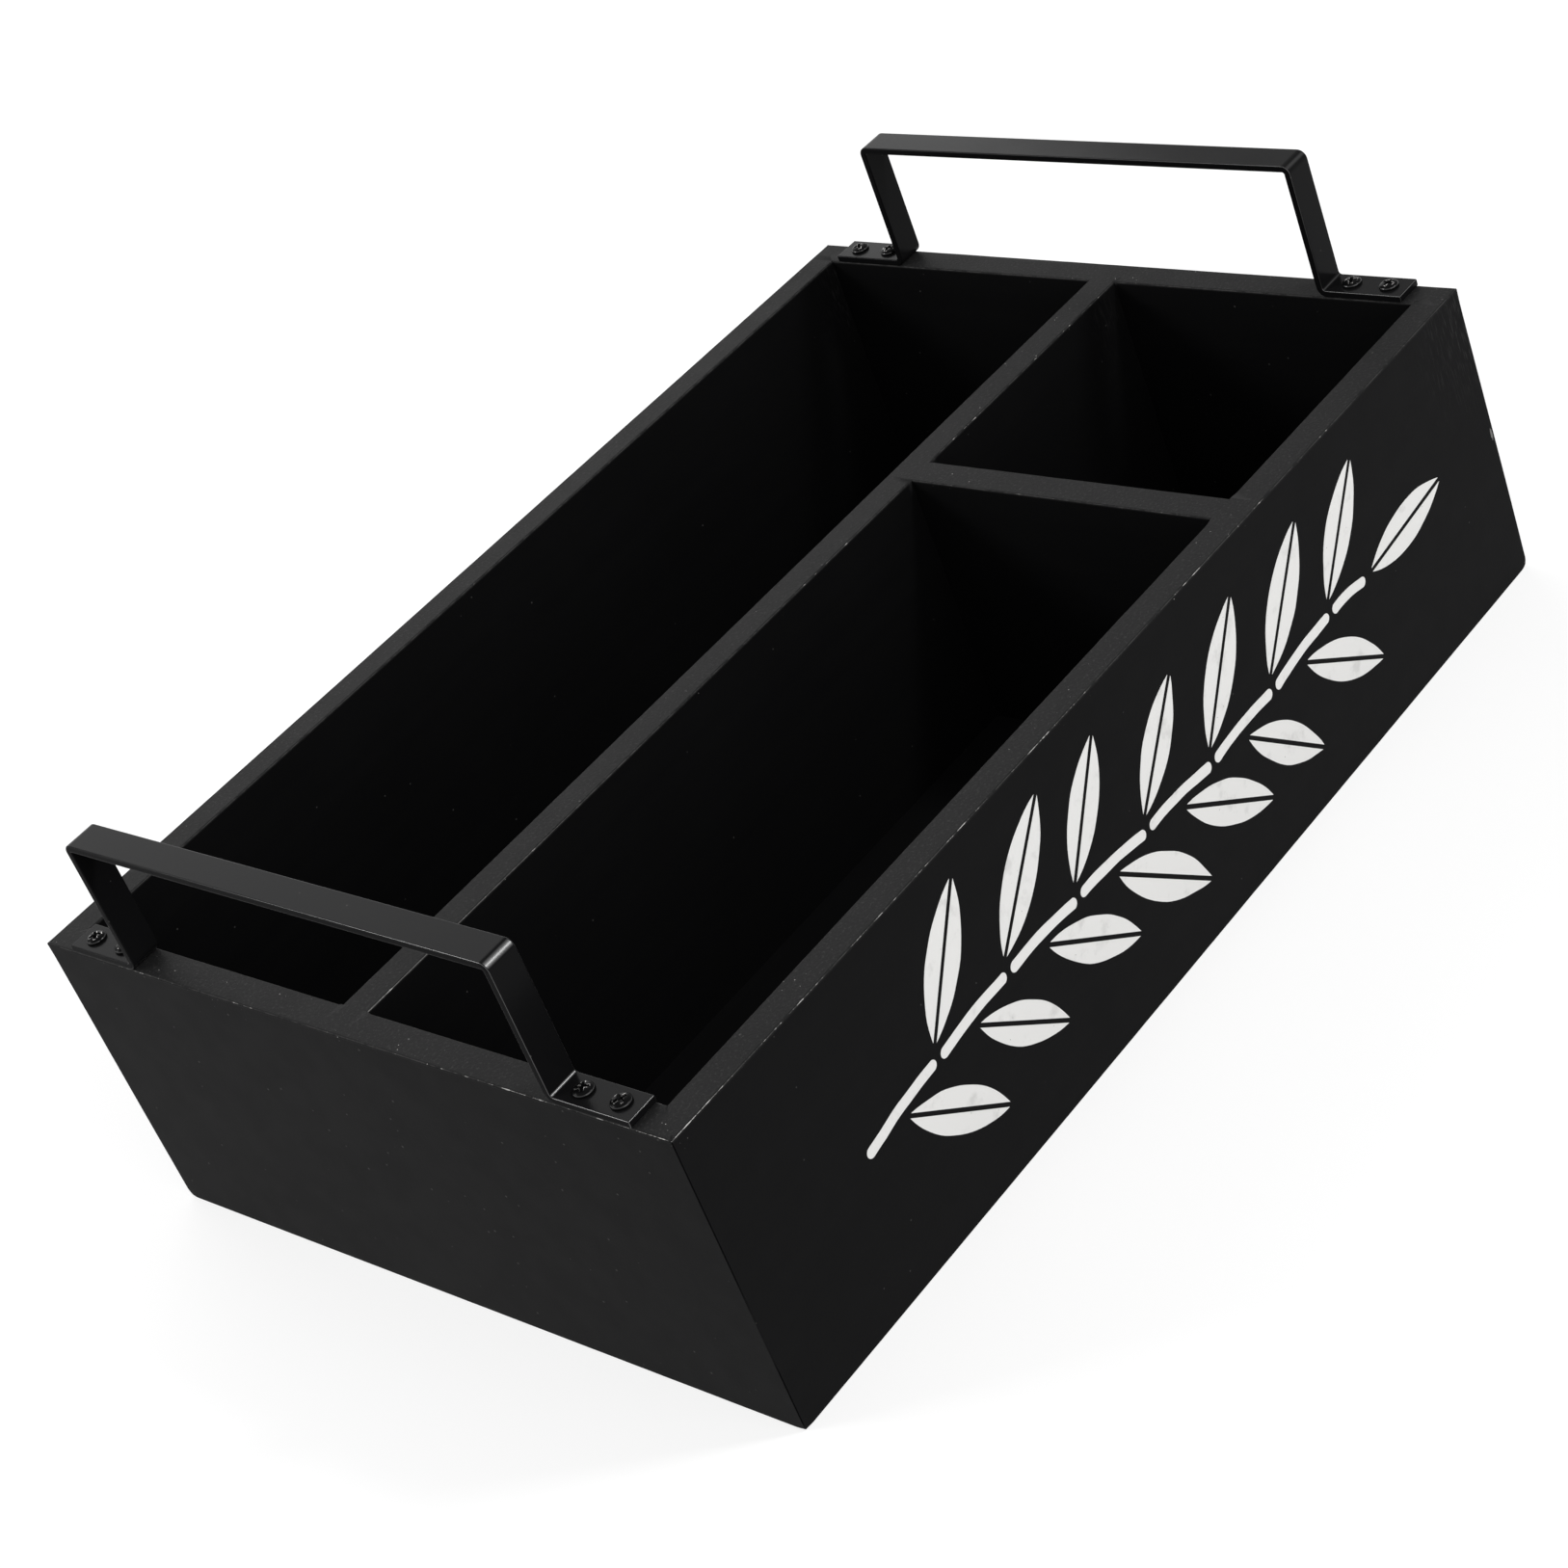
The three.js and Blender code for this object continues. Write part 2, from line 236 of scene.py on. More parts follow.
def dust_group():
    """Stray specks: the few cells of a fine foam that hold one show a small dot at their middle."""
    inputs = {"Vector": "NodeSocketVector", "Scale": "NodeSocketFloat", "Share": "NodeSocketFloat"}
    group, given, put_out = node_group("dust_specks", inputs, {"Mask": "NodeSocketFloat"})
    cells = place(group, "ShaderNodeTexVoronoi", {"Vector": given["Vector"], "Scale": given["Scale"]})
    draw = place(group, "ShaderNodeSeparateColor", {"Color": cells.outputs["Color"]})
    chosen = maths(group, "LESS_THAN", draw.outputs["Red"], given["Share"])
    size = ramp(group, draw.outputs["Green"], 0.0, 1.0, *SPECK_SIZES)
    core = maths(group, "MULTIPLY", size, SPECK_CORE)
    span = {"From Min": core, "From Max": size, "To Min": 1.0, "To Max": 0.0}
    nearness = place(group, "ShaderNodeMapRange", {"Value": cells.outputs["Distance"], **span})
    group.links.new(maths(group, "MULTIPLY", nearness.outputs["Result"], chosen), put_out["Mask"])
    return group


def grain_group():
    """Grain that shows through the paint: long low ridges along the first axis of the vector."""
    outputs = {"Height": "NodeSocketFloat", "Tone": "NodeSocketFloat"}
    group, given, put_out = node_group("painted_grain", {"Vector": "NodeSocketVector"}, outputs)
    broad = noise_value(group, stretched(group, given["Vector"], BROAD_GRAIN), 1.0, roughness=0.55)
    fine = noise_value(group, stretched(group, given["Vector"], FINE_GRAIN), 1.0, detail=2.0, roughness=0.6)
    group.links.new(mix_value(group, BROAD_HEIGHT_SHARE, fine, broad), put_out["Height"])
    patches = noise_value(group, given["Vector"], GRAIN_PATCHES, roughness=0.6)
    tone = mix_value(group, BROAD_TONE_SHARE, patches, broad)
    group.links.new(ramp(group, tone, *TONE_SPAN), put_out["Tone"])
    return group


def spray_group():
    """The dry, slightly pebbled skin of sprayed paint."""
    inputs = {"Vector": "NodeSocketVector", "Scale": "NodeSocketFloat"}
    group, given, put_out = node_group("sprayed_skin", inputs, {"Height": "NodeSocketFloat"})
    pebbles = noise_value(group, given["Vector"], given["Scale"], roughness=0.6)
    group.links.new(pebbles, put_out["Height"])
    return group


RUBBED_EDGE = rubbed_edge_group()
DUST_SPECKS = dust_group()
PAINTED_GRAIN = grain_group()
SPRAYED_SKIN = spray_group()


def use_group(tree, group, inputs):
    return place(tree, "ShaderNodeGroup", inputs, node_tree=group)


def new_material(name):
    material = bpy.data.materials.new(name)
    material.use_nodes = True
    tree = material.node_tree
    return material, tree, tree.nodes["Principled BSDF"]


def recorded(tree, name):
    """What the vertices of a piece record under a name."""
    return place(tree, "ShaderNodeAttribute", attribute_name=name).outputs["Fac"]


def raise_surface(tree, shader, height, strength, distance):
    """Lets a height stand out on a shader's surface."""
    bump = place(tree, "ShaderNodeBump", {"Strength": strength, "Distance": distance, "Height": height})
    tree.links.new(bump.outputs["Normal"], shader.inputs["Normal"])


def sanding_marks(tree, on_piece, along_run, height, half_run):
    """Upright strokes of the sandpaper, in patches on the upper part of a board by its far end."""
    near_end = ramp(tree, along_run, half_run - SANDED_REACH, half_run)
    sanded_end = maths(tree, "MULTIPLY", near_end, ramp(tree, height, *SANDED_HEIGHT))
    strokes = noise_value(tree, stretched(tree, on_piece, SANDING_STROKES), 1.0, detail=2.0)
    patches = noise_value(tree, on_piece, SANDED_PATCHES, detail=2.0)
    shown = maths(tree, "MULTIPLY", ramp(tree, strokes, *STROKES_SHOWN), ramp(tree, patches, *PATCHES_SHOWN))
    return maths(tree, "MULTIPLY", shown, sanded_end)


def chipped_wood(tree, on_piece, height):
    """Chips: some along the rim, more from blows at the most handled corner, and a splinter far from it."""
    knocks = use_group(tree, DUST_SPECKS, {"Vector": on_piece, "Scale": 900.0, "Share": 0.22})
    stretches = ramp(tree, noise_value(tree, on_piece, CHIPPED_STRETCHES, detail=2.0), *STRETCHES_SHOWN)
    by_rim = maths(tree, "MULTIPLY", ramp(tree, height, *CHIPPED_BAND), stretches)
    blows = use_group(tree, DUST_SPECKS, {"Vector": on_piece, "Scale": 620.0, "Share": 0.5})
    away = place(tree, "ShaderNodeVectorMath", {0: on_piece, 1: MOST_HANDLED}, operation="DISTANCE")
    by_corner = ramp(tree, away.outputs["Value"], *BLOWS_REACH)
    chips = maths(
        tree,
        "MAXIMUM",
        maths(tree, "MULTIPLY", knocks.outputs["Mask"], by_rim),
        maths(tree, "MULTIPLY", blows.outputs["Mask"], by_corner),
    )
    to_splinter = place(tree, "ShaderNodeVectorMath", {0: on_piece, 1: SPLINTER}, operation="SUBTRACT")
    fitted = stretched(tree, to_splinter.outputs["Vector"], SPLINTER_SHAPE)
    beyond = place(tree, "ShaderNodeVectorMath", {0: fitted}, operation="LENGTH").outputs["Value"]
    ragged = maths(tree, "ADD", beyond, noise_value(tree, on_piece, SPLINTER_RAGGED, detail=2.0))
    return maths(tree, "MAXIMUM", chips, ramp(tree, ragged, *SPLINTER_SPAN, 0.0, SPLINTER_BARED))


def board_paint(name, grain_turn, half_run, sanded_amount):
    """Matt black paint on wood whose grain runs along X, turned about Z, and whose far end shows sanding."""
    material, tree, shader = new_material(name)
    on_piece = place(tree, "ShaderNodeTexCoord").outputs["Object"]
    height = place(tree, "ShaderNodeSeparateXYZ", {"Vector": on_piece}).outputs["Z"]
    turned = {"Vector": on_piece, "Rotation": (0.0, 0.0, grain_turn)}
    along = place(tree, "ShaderNodeMapping", turned).outputs["Vector"]
    along_run = place(tree, "ShaderNodeSeparateXYZ", {"Vector": along}).outputs["X"]
    edge = recorded(tree, "wear")
    arris = recorded(tree, "arris")
    grain = use_group(tree, PAINTED_GRAIN, {"Vector": along})
    skin = use_group(tree, SPRAYED_SKIN, {"Vector": on_piece, "Scale": 1500.0})
    dust = use_group(tree, DUST_SPECKS, {"Vector": on_piece, "Scale": 380.0, "Share": 0.055})
    rubbing = use_group(tree, RUBBED_EDGE, {"Vector": on_piece, "Edge": edge, "Amount": 1.0})
    rubbed = rubbing.outputs["Mask"]

    paint = mix_colour(tree, grain.outputs["Tone"], PAINT_DARK, PAINT_PALE)
    marks = sanding_marks(tree, on_piece, along_run, height, half_run)
    sanded = mix_colour(tree, maths(tree, "MULTIPLY", marks, sanded_amount), paint, SANDED_PAINT)
    speckle = ramp(tree, noise_value(tree, on_piece, RIM_SPECKLE, roughness=0.7), *SPECKLE_SHOWN)
    # The top band of each board is painted paler: rubbed paint, plus painted light on the tops.
    rim = ramp(tree, height, *RIM_BAND)
    rimmed = mix_colour(tree, rim, sanded, mix_colour(tree, speckle, RIM_PAINT_AND_TOP_LIGHT, RIM_SPECK))
    patches = ramp(tree, noise_value(tree, on_piece, THIN_PATCHES), *THIN_SHOWN)
    # Thin paint on the edges, and a painted highlight along the rim's arrises, in patches.
    thin_and_lit_edge = maths(tree, "MAXIMUM", ramp(tree, edge, *THIN_AND_LIT_BY_WEAR), ramp(tree, arris, *THIN_AND_LIT_BY_ARRIS))
    edged = mix_colour(tree, maths(tree, "MULTIPLY", patches, thin_and_lit_edge), rimmed, THIN_EDGE_PAINT_AND_HIGHLIGHT)
    # Painted highlight line on the arris.
    lined = mix_colour(tree, ramp(tree, arris, *LINE_SHOWN), edged, ARRIS_HIGHLIGHT_PAINT)
    dusty = mix_colour(tree, dust.outputs["Mask"], lined, DUST_GREY)
    bared = maths(tree, "MAXIMUM", rubbed, chipped_wood(tree, on_piece, height))
    tree.links.new(mix_colour(tree, bared, dusty, RUBBED_PAINT), shader.inputs["Base Color"])

    sheen = ramp(tree, noise_value(tree, on_piece, SHEEN_PATCHES), *NOISE_SPAN, *PAINT_ROUGHNESS)
    tree.links.new(mix_value(tree, rubbed, sheen, RUBBED_ROUGHNESS), shader.inputs["Roughness"])
    coarseness = mix_value(tree, rim, SKIN_ON_FACES, SKIN_ON_RIM)
    coarse = maths(tree, "MULTIPLY", skin.outputs["Height"], coarseness)
    surface = maths(tree, "ADD", coarse, maths(tree, "MULTIPLY", grain.outputs["Height"], GRAIN_HEIGHT))
    raise_surface(tree, shader, surface, strength=0.30, distance=0.25 * MM)
    shader.inputs["Specular IOR Level"].default_value = PAINT_SPECULAR
    return material


PAINT_ALONG_X = board_paint("paint_grain_along_x", 0.0, cad_box[1][0], 1.0)
PAINT_ALONG_Y = board_paint("paint_grain_along_y", 0.5 * math.pi, cad_box[1][1], 0.0)


def finish_piece(name, bm, material):
    mesh = bpy.data.meshes.new(name)
    bm.to_mesh(mesh)
    bm.free()
    piece = bpy.data.objects.new(name, mesh)
    bpy.context.scene.collection.objects.link(piece)
    mesh.materials.append(material)
    return piece


def slice_at(bm, point, normal, clear_behind=False):
    """Cuts the mesh along a plane and, where that is asked, drops what lies behind it."""
    bmesh.ops.bisect_plane(
        bm,
        geom=bm.verts[:] + bm.edges[:] + bm.faces[:],
        dist=ON_CUT,
        plane_co=point,
        plane_no=normal,
        clear_inner=clear_behind,
    )


def sawn_board(node, run):
    """A copy of the board, sliced across its run and its rise so that its edges can be dented."""
    bm = bmesh.new()
    bm.from_mesh(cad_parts[node].data)
    bmesh.ops.remove_doubles(bm, verts=bm.verts, dist=WELD)
    bmesh.ops.dissolve_limit(bm, angle_limit=FLAT_ANGLE, verts=bm.verts, edges=bm.edges)
    low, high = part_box(node)
    for axis, step in ((run, SLICE_RUN), (2, SLICE_RISE)):
        count = int((high[axis] - low[axis]) / step)
        cuts = [low[axis] + (high[axis] - low[axis]) * index / count for index in range(1, count)]
        cuts += [low[axis] + inset for inset in KNOCK_SLICES]
        if axis == run:
            cuts += [high[axis] - inset for inset in KNOCK_SLICES]
        normal = Matrix.Identity(3)[axis]
        for cut in cuts:
            slice_at(bm, normal * cut, normal)
    return bm


def below_outside(co, low, high, across, outside):
    """How deep a point lies below the outer face of its board."""
    return co[across] - low[across] if outside < 0 else high[across] - co[across]


def edge_place(first, second, radius):
    """1 on the middle of a rounded edge, 0 where its round ends, from the distances to its two faces."""
    if max(first, second) >= radius:
        return 0.0
    return 1.0 - abs(first - second) / radius


def in_housing(co, housing):
    """Whether a point lies in the cut that takes a divider's end, or on the face that closes it."""
    if housing is None:
        return False
    run, middle, face, inward = housing
    depth = inward * (co[1 - run] - face)
    beside = abs(co[run] - middle)
    return -WELD < depth < HOUSING_REACH and beside < HOUSING_HALF


def fill_housing(bm, housing):
    """Closes the cut up to the board's face, because the divider's end, the filler and the paint hide it."""
    if housing is None:
        return
    run, _, face, _ = housing
    for vert in bm.verts:
        if in_housing(vert.co, housing):
            vert.co[1 - run] = face
            if vert.co.z > RIM_Z - JUST_OVER * EDGE_EASE:
                vert.co.z = RIM_Z
    bmesh.ops.dissolve_degenerate(bm, dist=WELD, edges=bm.edges[:])


def handled_wall(rubbed):
    """How far handling has worn a wall at a point: most at the corner where the box is picked up."""
    def amount(co):
        to_corner = (co - MOST_HANDLED).length
        by_corner = CORNER_RUBBED * math.exp(-to_corner / HANDLED_REACH)
        return rubbed + by_corner - FAR_END_SPARED * to_corner / BOX_LENGTH
    return amount


def waves(co, parts):
    """Unevenness at a point: the sum of noises, each with its share and its scale."""
    return sum(share * noise.noise(co * scale) for share, scale in parts)


def covered(value, none, full):
    """How much of the way from none to full a value has come, from 0 to 1."""
    return min(1.0, max(0.0, (value - none) / (full - none)))


def dent_and_wear(bm, node, run, outside, handled, housing, foot_rubbed=FOOT_RUBBED):
    """Dents the eased edges and records on each vertex how far handling has worn it, and how far its arris
    takes the painted highlight.
    """
    low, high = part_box(node)
    across = 1 - run
    wear = bm.verts.layers.float.new("wear")
    arris = bm.verts.layers.float.new("arris")
    bm.normal_update()
    moves = []
    for vert in bm.verts:
        co = vert.co
        if in_housing(co, housing):
            continue
        to_outside = below_outside(co, low, high, across, outside)
        to_inside = (high[across] - low[across]) - to_outside
        to_top = high.z - co.z
        to_bottom = co.z - low.z
        to_end = min(co[run] - cad_box[0][run], cad_box[1][run] - co[run])
        rim_outside = edge_place(to_outside, to_top, RIM_TIGHTENED * EDGE_EASE)
        rim_inside = edge_place(to_inside, to_top, RIM_TIGHTENED * EDGE_EASE)
        foot = edge_place(to_outside, to_bottom, RIM_TIGHTENED * EDGE_EASE)
        upright = edge_place(to_outside, to_end, CORNER_EASE)
        rubbed = (rim_outside, INSIDE_RUBBED * rim_inside, foot_rubbed * foot, UPRIGHT_RUBBED * upright)
        vert[wear] = handled(co) * max(rubbed)
        # The arris value places a painted highlight along the rim's edges.
        vert[arris] = ARRIS_LINE * max(rim_outside, rim_inside)
        on_edge = max(rim_outside, rim_inside, foot_rubbed * foot)
        if on_edge > 0.0:
            rough = DENT_MEAN + waves(co, DENT_WAVES)
            moves.append((vert, -vert.normal * EDGE_DENT * on_edge * rough))
    for vert, move in moves:
        vert.co += move


def tighten_edges(bm, node, run, outside):
    """Draws in the rounds of the rim, the foot and the near corner to what the sandpaper really took off."""
    low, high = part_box(node)
    across = 1 - run
    for vert in bm.verts:
        co = vert.co
        face = low[across] if outside < 0 else high[across]
        end = cad_box[0][run] if co[run] < 0.0 else cad_box[1][run]
        at_corner = max(abs(co[across] - face), abs(co[run] - end)) < JUST_OVER * CORNER_EASE
        if at_corner and co.x < 0.0 and co.y < 0.0:
            co[across] = face + (co[across] - face) * NEAR_CORNER_TIGHTENED
            co[run] = end + (co[run] - end) * NEAR_CORNER_TIGHTENED
        side = low[across] if co[across] < 0.5 * (low[across] + high[across]) else high[across]
        level = low.z if co.z < 0.5 * (low.z + high.z) else high.z
        if max(abs(co[across] - side), abs(co.z - level)) < JUST_OVER * EDGE_EASE:
            co[across] = side + (co[across] - side) * RIM_TIGHTENED
            co.z = level + (co.z - level) * RIM_TIGHTENED


def blunt_feet(bm, node):
    """Knocks the four lower corners of the box in."""
    foot_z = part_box(node)[0].z
    for vert in bm.verts:
        co = vert.co
        corner = Vector((math.copysign(cad_box[1][0], co.x), math.copysign(cad_box[1][1], co.y), foot_z))
        name = ("front_" if co.y < 0.0 else "back_") + ("left" if co.x < 0.0 else "right")
        inset = KNOCKED_FOOT[name] * max(0.0, 1.0 - (co - corner).length / KNOCK_REACH) ** 2
        co.x -= math.copysign(inset, co.x)
        co.y -= math.copysign(inset, co.y)
        co.z += inset


def glued_faces(bm, node, run, outside):
    """The vertices of the two mitres, each with the end of the box that it lies at."""
    low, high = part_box(node)
    across = 1 - run
    glued = []
    for vert in bm.verts:
        depth = below_outside(vert.co, low, high, across, outside)
        for end in (cad_box[0][run], cad_box[1][run]):
            if abs(abs(end - vert.co[run]) - depth - MITRE_GLUE) < MITRE_TOLERANCE:
                glued.append((vert, end))
    return glued


def close_mitres(glued, node, run, outside):
    """Brings the glued faces together, but for a hair that gapes below the rim and again above the foot."""
    low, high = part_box(node)
    across = 1 - run
    for vert, end in glued:
        co = vert.co
        depth = below_outside(co, low, high, across, outside)
        upper = covered(co.z, *OPEN_UPPER_PART) * covered(RIM_Z - co.z, *GLUED_BELOW_RIM)
        lower = FOOT_OPENING * covered(co.z, *OPEN_LOWER_PART) * covered(co.z, *GLUED_AT_FOOT)
        unevenness = max(0.0, GAPE_MEAN + waves(co, GAPE_WAVES))
        opened = 1.0 if max(co.x, co.y) < 0.0 else OTHER_MITRES_OPENING
        gape = opened * max(upper, lower) * unevenness * covered(depth, MITRE_GAPE_DEPTH, 0.0)
        co[run] = end - math.copysign(depth + gape * MITRE_OPENING, end)


def sand_front(bm):
    """Takes the front's face back by the film of ink that is printed on it, so that the size is kept."""
    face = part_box("front_panel")[0].y + FRONT_SANDED_BACK
    for vert in bm.verts:
        vert.co.y = max(vert.co.y, face)


def shade_rounds(piece):
    """Rounds run smoothly into flats, which stay flat, and true arrises stay crisp."""
    piece.data.shade_smooth()
    piece.data.set_sharp_from_angle(angle=CRISP_ANGLE)
    shading = piece.modifiers.new("even_shading", "WEIGHTED_NORMAL")
    shading.keep_sharp = True


def paint_board(node, board, run):
    """Paints a shaped board and puts it in the place of its solid."""
    panel = finish_piece(node + "_painted", board, PAINT_ALONG_Y if run else PAINT_ALONG_X)
    shade_rounds(panel)
    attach(panel, "root")
    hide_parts(node)


def housing_for(guest, run, face, inward):
    """The cut that takes another board: its run, its middle, the face that it is cut in, and which way."""
    low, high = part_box(guest)
    return run, 0.5 * (low[run] + high[run]), face, inward


for node, wall in WALLS.items():
    run, outside = wall["run"], wall["outside"]
    housing = None
    if wall["takes"]:
        low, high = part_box(node)
        inner_face = high[1 - run] if outside < 0 else low[1 - run]
        housing = housing_for(wall["takes"], run, inner_face, outside)
    board = sawn_board(node, run)
    fill_housing(board, housing)
    glued = glued_faces(board, node, run, outside)
    tighten_edges(board, node, run, outside)
    close_mitres(glued, node, run, outside)
    dent_and_wear(board, node, run, outside, handled_wall(wall["rubbed"]), housing)
    blunt_feet(board, node)
    if node == "front_panel":
        sand_front(board)
    paint_board(node, board, run)

# Bottom board: a thin sheet of plywood, slid into the grooves before the last wall was glued on.
# It is sprayed with the walls, so only the hair-wide gap along them shows that it is a piece of its own.
bottom_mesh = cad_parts["bottom_panel"].data
bottom_mesh.materials.clear()
bottom_mesh.materials.append(PAINT_ALONG_X)

# Dividers: the same board as the walls, flush with the rim. The long one is let into both ends of the box,
# and the cross one into the front wall and the long one. The joints were filled, so each board shows only
# from face to face, and the rim runs over the joint under one coat of paint.
DIVIDERS = {
    "long_divider": {"run": 0, "between": ("left_end_panel", "right_end_panel"), "takes": "cross_divider"},
    "cross_divider": {"run": 1, "between": ("front_panel", "long_divider"), "takes": None},
}
DIVIDER_RUBBED = 0.95
DIVIDER_LEAST_RUBBED = 0.72
RUBBED_RUN = 500.0 * MM
LINED_RUN = 130.0 * MM
LINED_END = 0.5


def trim_ends(bm, run, start, end):
    """Cuts the board off at the faces of the boards that take its ends."""
    along = Matrix.Identity(3)[run]
    slice_at(bm, along * start, along, clear_behind=True)
    slice_at(bm, along * end, -along, clear_behind=True)
    bmesh.ops.holes_fill(bm, edges=[edge for edge in bm.edges if edge.is_boundary], sides=0)


def handled_divider(co):
    """How far handling has worn a divider at a point: most at the left end, by the handle."""
    return max(DIVIDER_LEAST_RUBBED, DIVIDER_RUBBED - (co.x - cad_box[0][0]) / RUBBED_RUN)


def line_arris(bm):
    """Draws a bright line on the arris at the left end: a painted highlight, and paint rubbed where the hand
    that takes the handle passes.
    """
    arris = bm.verts.layers.float["arris"]
    for vert in bm.verts:
        along = vert.co.x - cad_box[0][0]
        vert[arris] *= 1.0 + LINED_END * max(0.0, 1.0 - along / LINED_RUN) / ARRIS_LINE


for node, divider in DIVIDERS.items():
    run = divider["run"]
    housing = None
    if divider["takes"]:
        housing = housing_for(divider["takes"], run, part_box(node)[0][1 - run], 1)
    board = sawn_board(node, run)
    fill_housing(board, housing)
    first, last = divider["between"]
    start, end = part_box(first)[1][run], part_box(last)[0][run]
    trim_ends(board, run, start, end)
    tighten_edges(board, node, run, -1)
    dent_and_wear(board, node, run, -1, handled_divider, housing, foot_rubbed=0.0)
    if node == "long_divider":
        line_arris(board)
    paint_board(node, board, run)

# Leaf print: a plain branch of leaves, stencilled on the front wall in off-white ink.
# Each leaf is two brushed halves beside a bare vein, and the stencil's bridges break the stem. The wall
# under it is sanded back by the film of ink, so the print ends flush with the box.
STEM_WIDTH = 2.8 * MM
INK_FILM = 0.05 * MM
INK_KEYED = 0.01 * MM
LEAF_LENGTH = 36.0 * MM
LEAF_HALF_WIDTH = 5.6 * MM
VEIN_WIDTH = 1.1 * MM
UPPER_LEAN = math.radians(50.0)
LOWER_LEAN = math.radians(-38.0)
LEAF_SPACING = 26.0 * MM
LEAF_STEPS = 24
STROKE_STEPS = 10
LEAVES_PER_SIDE = 7
LEAF_SIZE = 0.95
LEAF_SIZE_SPREAD = 0.06
LEAF_SIZE_WAVE = 2.4
LEAN_SPREAD = math.radians(4.0)
LEAN_WAVE = 1.7
TIP_LEAN = math.radians(6.0)
STEM_SWAY = 2.4 * MM
STEM_WAVE = 0.5
STEM_BOW = 0.25 * STEM_SWAY
STEM_SHIFT = 11.0 * MM
TIP_REACH = (3.0 * MM, -1.0 * MM)
TAIL_STEPS = 1.1
TAIL_DROP = 2.0 * MM
BRIDGE = 1.7 * MM
ROUND_STEPS = 24
WOBBLE = 0.22 * MM
WOBBLE_SCALE = 170.0
WOBBLE_SEED = 11
PRINT_MIDDLE_Z = 0.5 * RIM_Z
INK_CLOUDS = 160.0
CLOUDS_SHOWN = (0.55, 0.75)
PINHOLE_SHOWN = 0.6
INK_ROUGHNESS = (0.55, 0.70)
INK_SPECULAR = 0.25
INK_WHITE = (0.84, 0.835, 0.82, 1.0)
INK_THIN = (0.70, 0.695, 0.68, 1.0)


def ink_material():
    """Off-white ink, brushed on unevenly, with pinholes that show the paint."""
    material, tree, shader = new_material("white_stencil_ink")
    on_piece = place(tree, "ShaderNodeTexCoord").outputs["Object"]
    cloud = ramp(tree, noise_value(tree, on_piece, INK_CLOUDS, detail=4.0, roughness=0.6), *CLOUDS_SHOWN)
    skin = use_group(tree, SPRAYED_SKIN, {"Vector": on_piece, "Scale": 1700.0})
    pinholes = use_group(tree, DUST_SPECKS, {"Vector": on_piece, "Scale": 700.0, "Share": 0.10})
    ink = mix_colour(tree, cloud, INK_WHITE, INK_THIN)
    pits = maths(tree, "MULTIPLY", pinholes.outputs["Mask"], PINHOLE_SHOWN)
    tree.links.new(mix_colour(tree, pits, ink, PAINT_PALE), shader.inputs["Base Color"])
    rough = ramp(tree, skin.outputs["Height"], *NOISE_SPAN, *INK_ROUGHNESS)
    tree.links.new(rough, shader.inputs["Roughness"])
    raise_surface(tree, shader, skin.outputs["Height"], strength=0.2, distance=0.1 * MM)
    shader.inputs["Specular IOR Level"].default_value = INK_SPECULAR
    return material


def join(bm, part, matrix):
    """Puts a part in its place and adds it to bm."""
    bmesh.ops.transform(part, matrix=matrix, verts=part.verts[:])
    mesh = bpy.data.meshes.new("joined")
    part.to_mesh(mesh)
    part.free()
    bm.from_mesh(mesh)
    bpy.data.meshes.remove(mesh)


def dab(bm, start, end, width, bow=0.0):
    """A round-ended stroke from start to end, bowed sideways in the middle."""
    run = (end - start).length
    stroke = bmesh.new()
    bmesh.ops.create_circle(stroke, cap_ends=True, segments=ROUND_STEPS, radius=0.5 * width)
    far = [vert for vert in stroke.verts if vert.co.x > WELD]
    bmesh.ops.translate(stroke, vec=(run, 0.0, 0.0), verts=far)
    for step in range(1, STROKE_STEPS):
        slice_at(stroke, (run * step / STROKE_STEPS, 0.0, 0.0), (1.0, 0.0, 0.0))
    for vert in stroke.verts:
        along = max(0.0, min(1.0, vert.co.x / run))
        vert.co.y += bow * 4.0 * along * (1.0 - along)
    aim = math.atan2(end.y - start.y, end.x - start.x)
    join(bm, stroke, Matrix.Translation(start) @ Matrix.Rotation(aim, 4, "Z"))


def leaf(bm, base, lean, size):
    """A leaf from its base outwards: one half is an arc closed along the vein, and the other mirrors it."""
    length = LEAF_LENGTH * size
    half_width = LEAF_HALF_WIDTH * size
    drop = (0.25 * length ** 2 - half_width ** 2) / (2.0 * half_width)
    halves = bmesh.new()
    root = halves.verts.new((0.0, 0.0, 0.0))
    bmesh.ops.spin(
        halves,
        geom=[root],
        cent=(0.5 * length, -drop, 0.0),
        axis=(0.0, 0.0, 1.0),
        angle=-2.0 * math.atan2(0.5 * length, drop),
        steps=LEAF_STEPS,
    )
    bmesh.ops.contextual_create(halves, geom=halves.verts[:] + halves.edges[:])
    slice_at(halves, (0.0, 0.5 * VEIN_WIDTH, 0.0), (0.0, 1.0, 0.0), clear_behind=True)
    half = halves.verts[:] + halves.edges[:] + halves.faces[:]
    bmesh.ops.mirror(halves, geom=half, axis="Y", merge_dist=0.0)
    join(bm, halves, Matrix.Translation(base) @ Matrix.Rotation(lean, 4, "Z"))


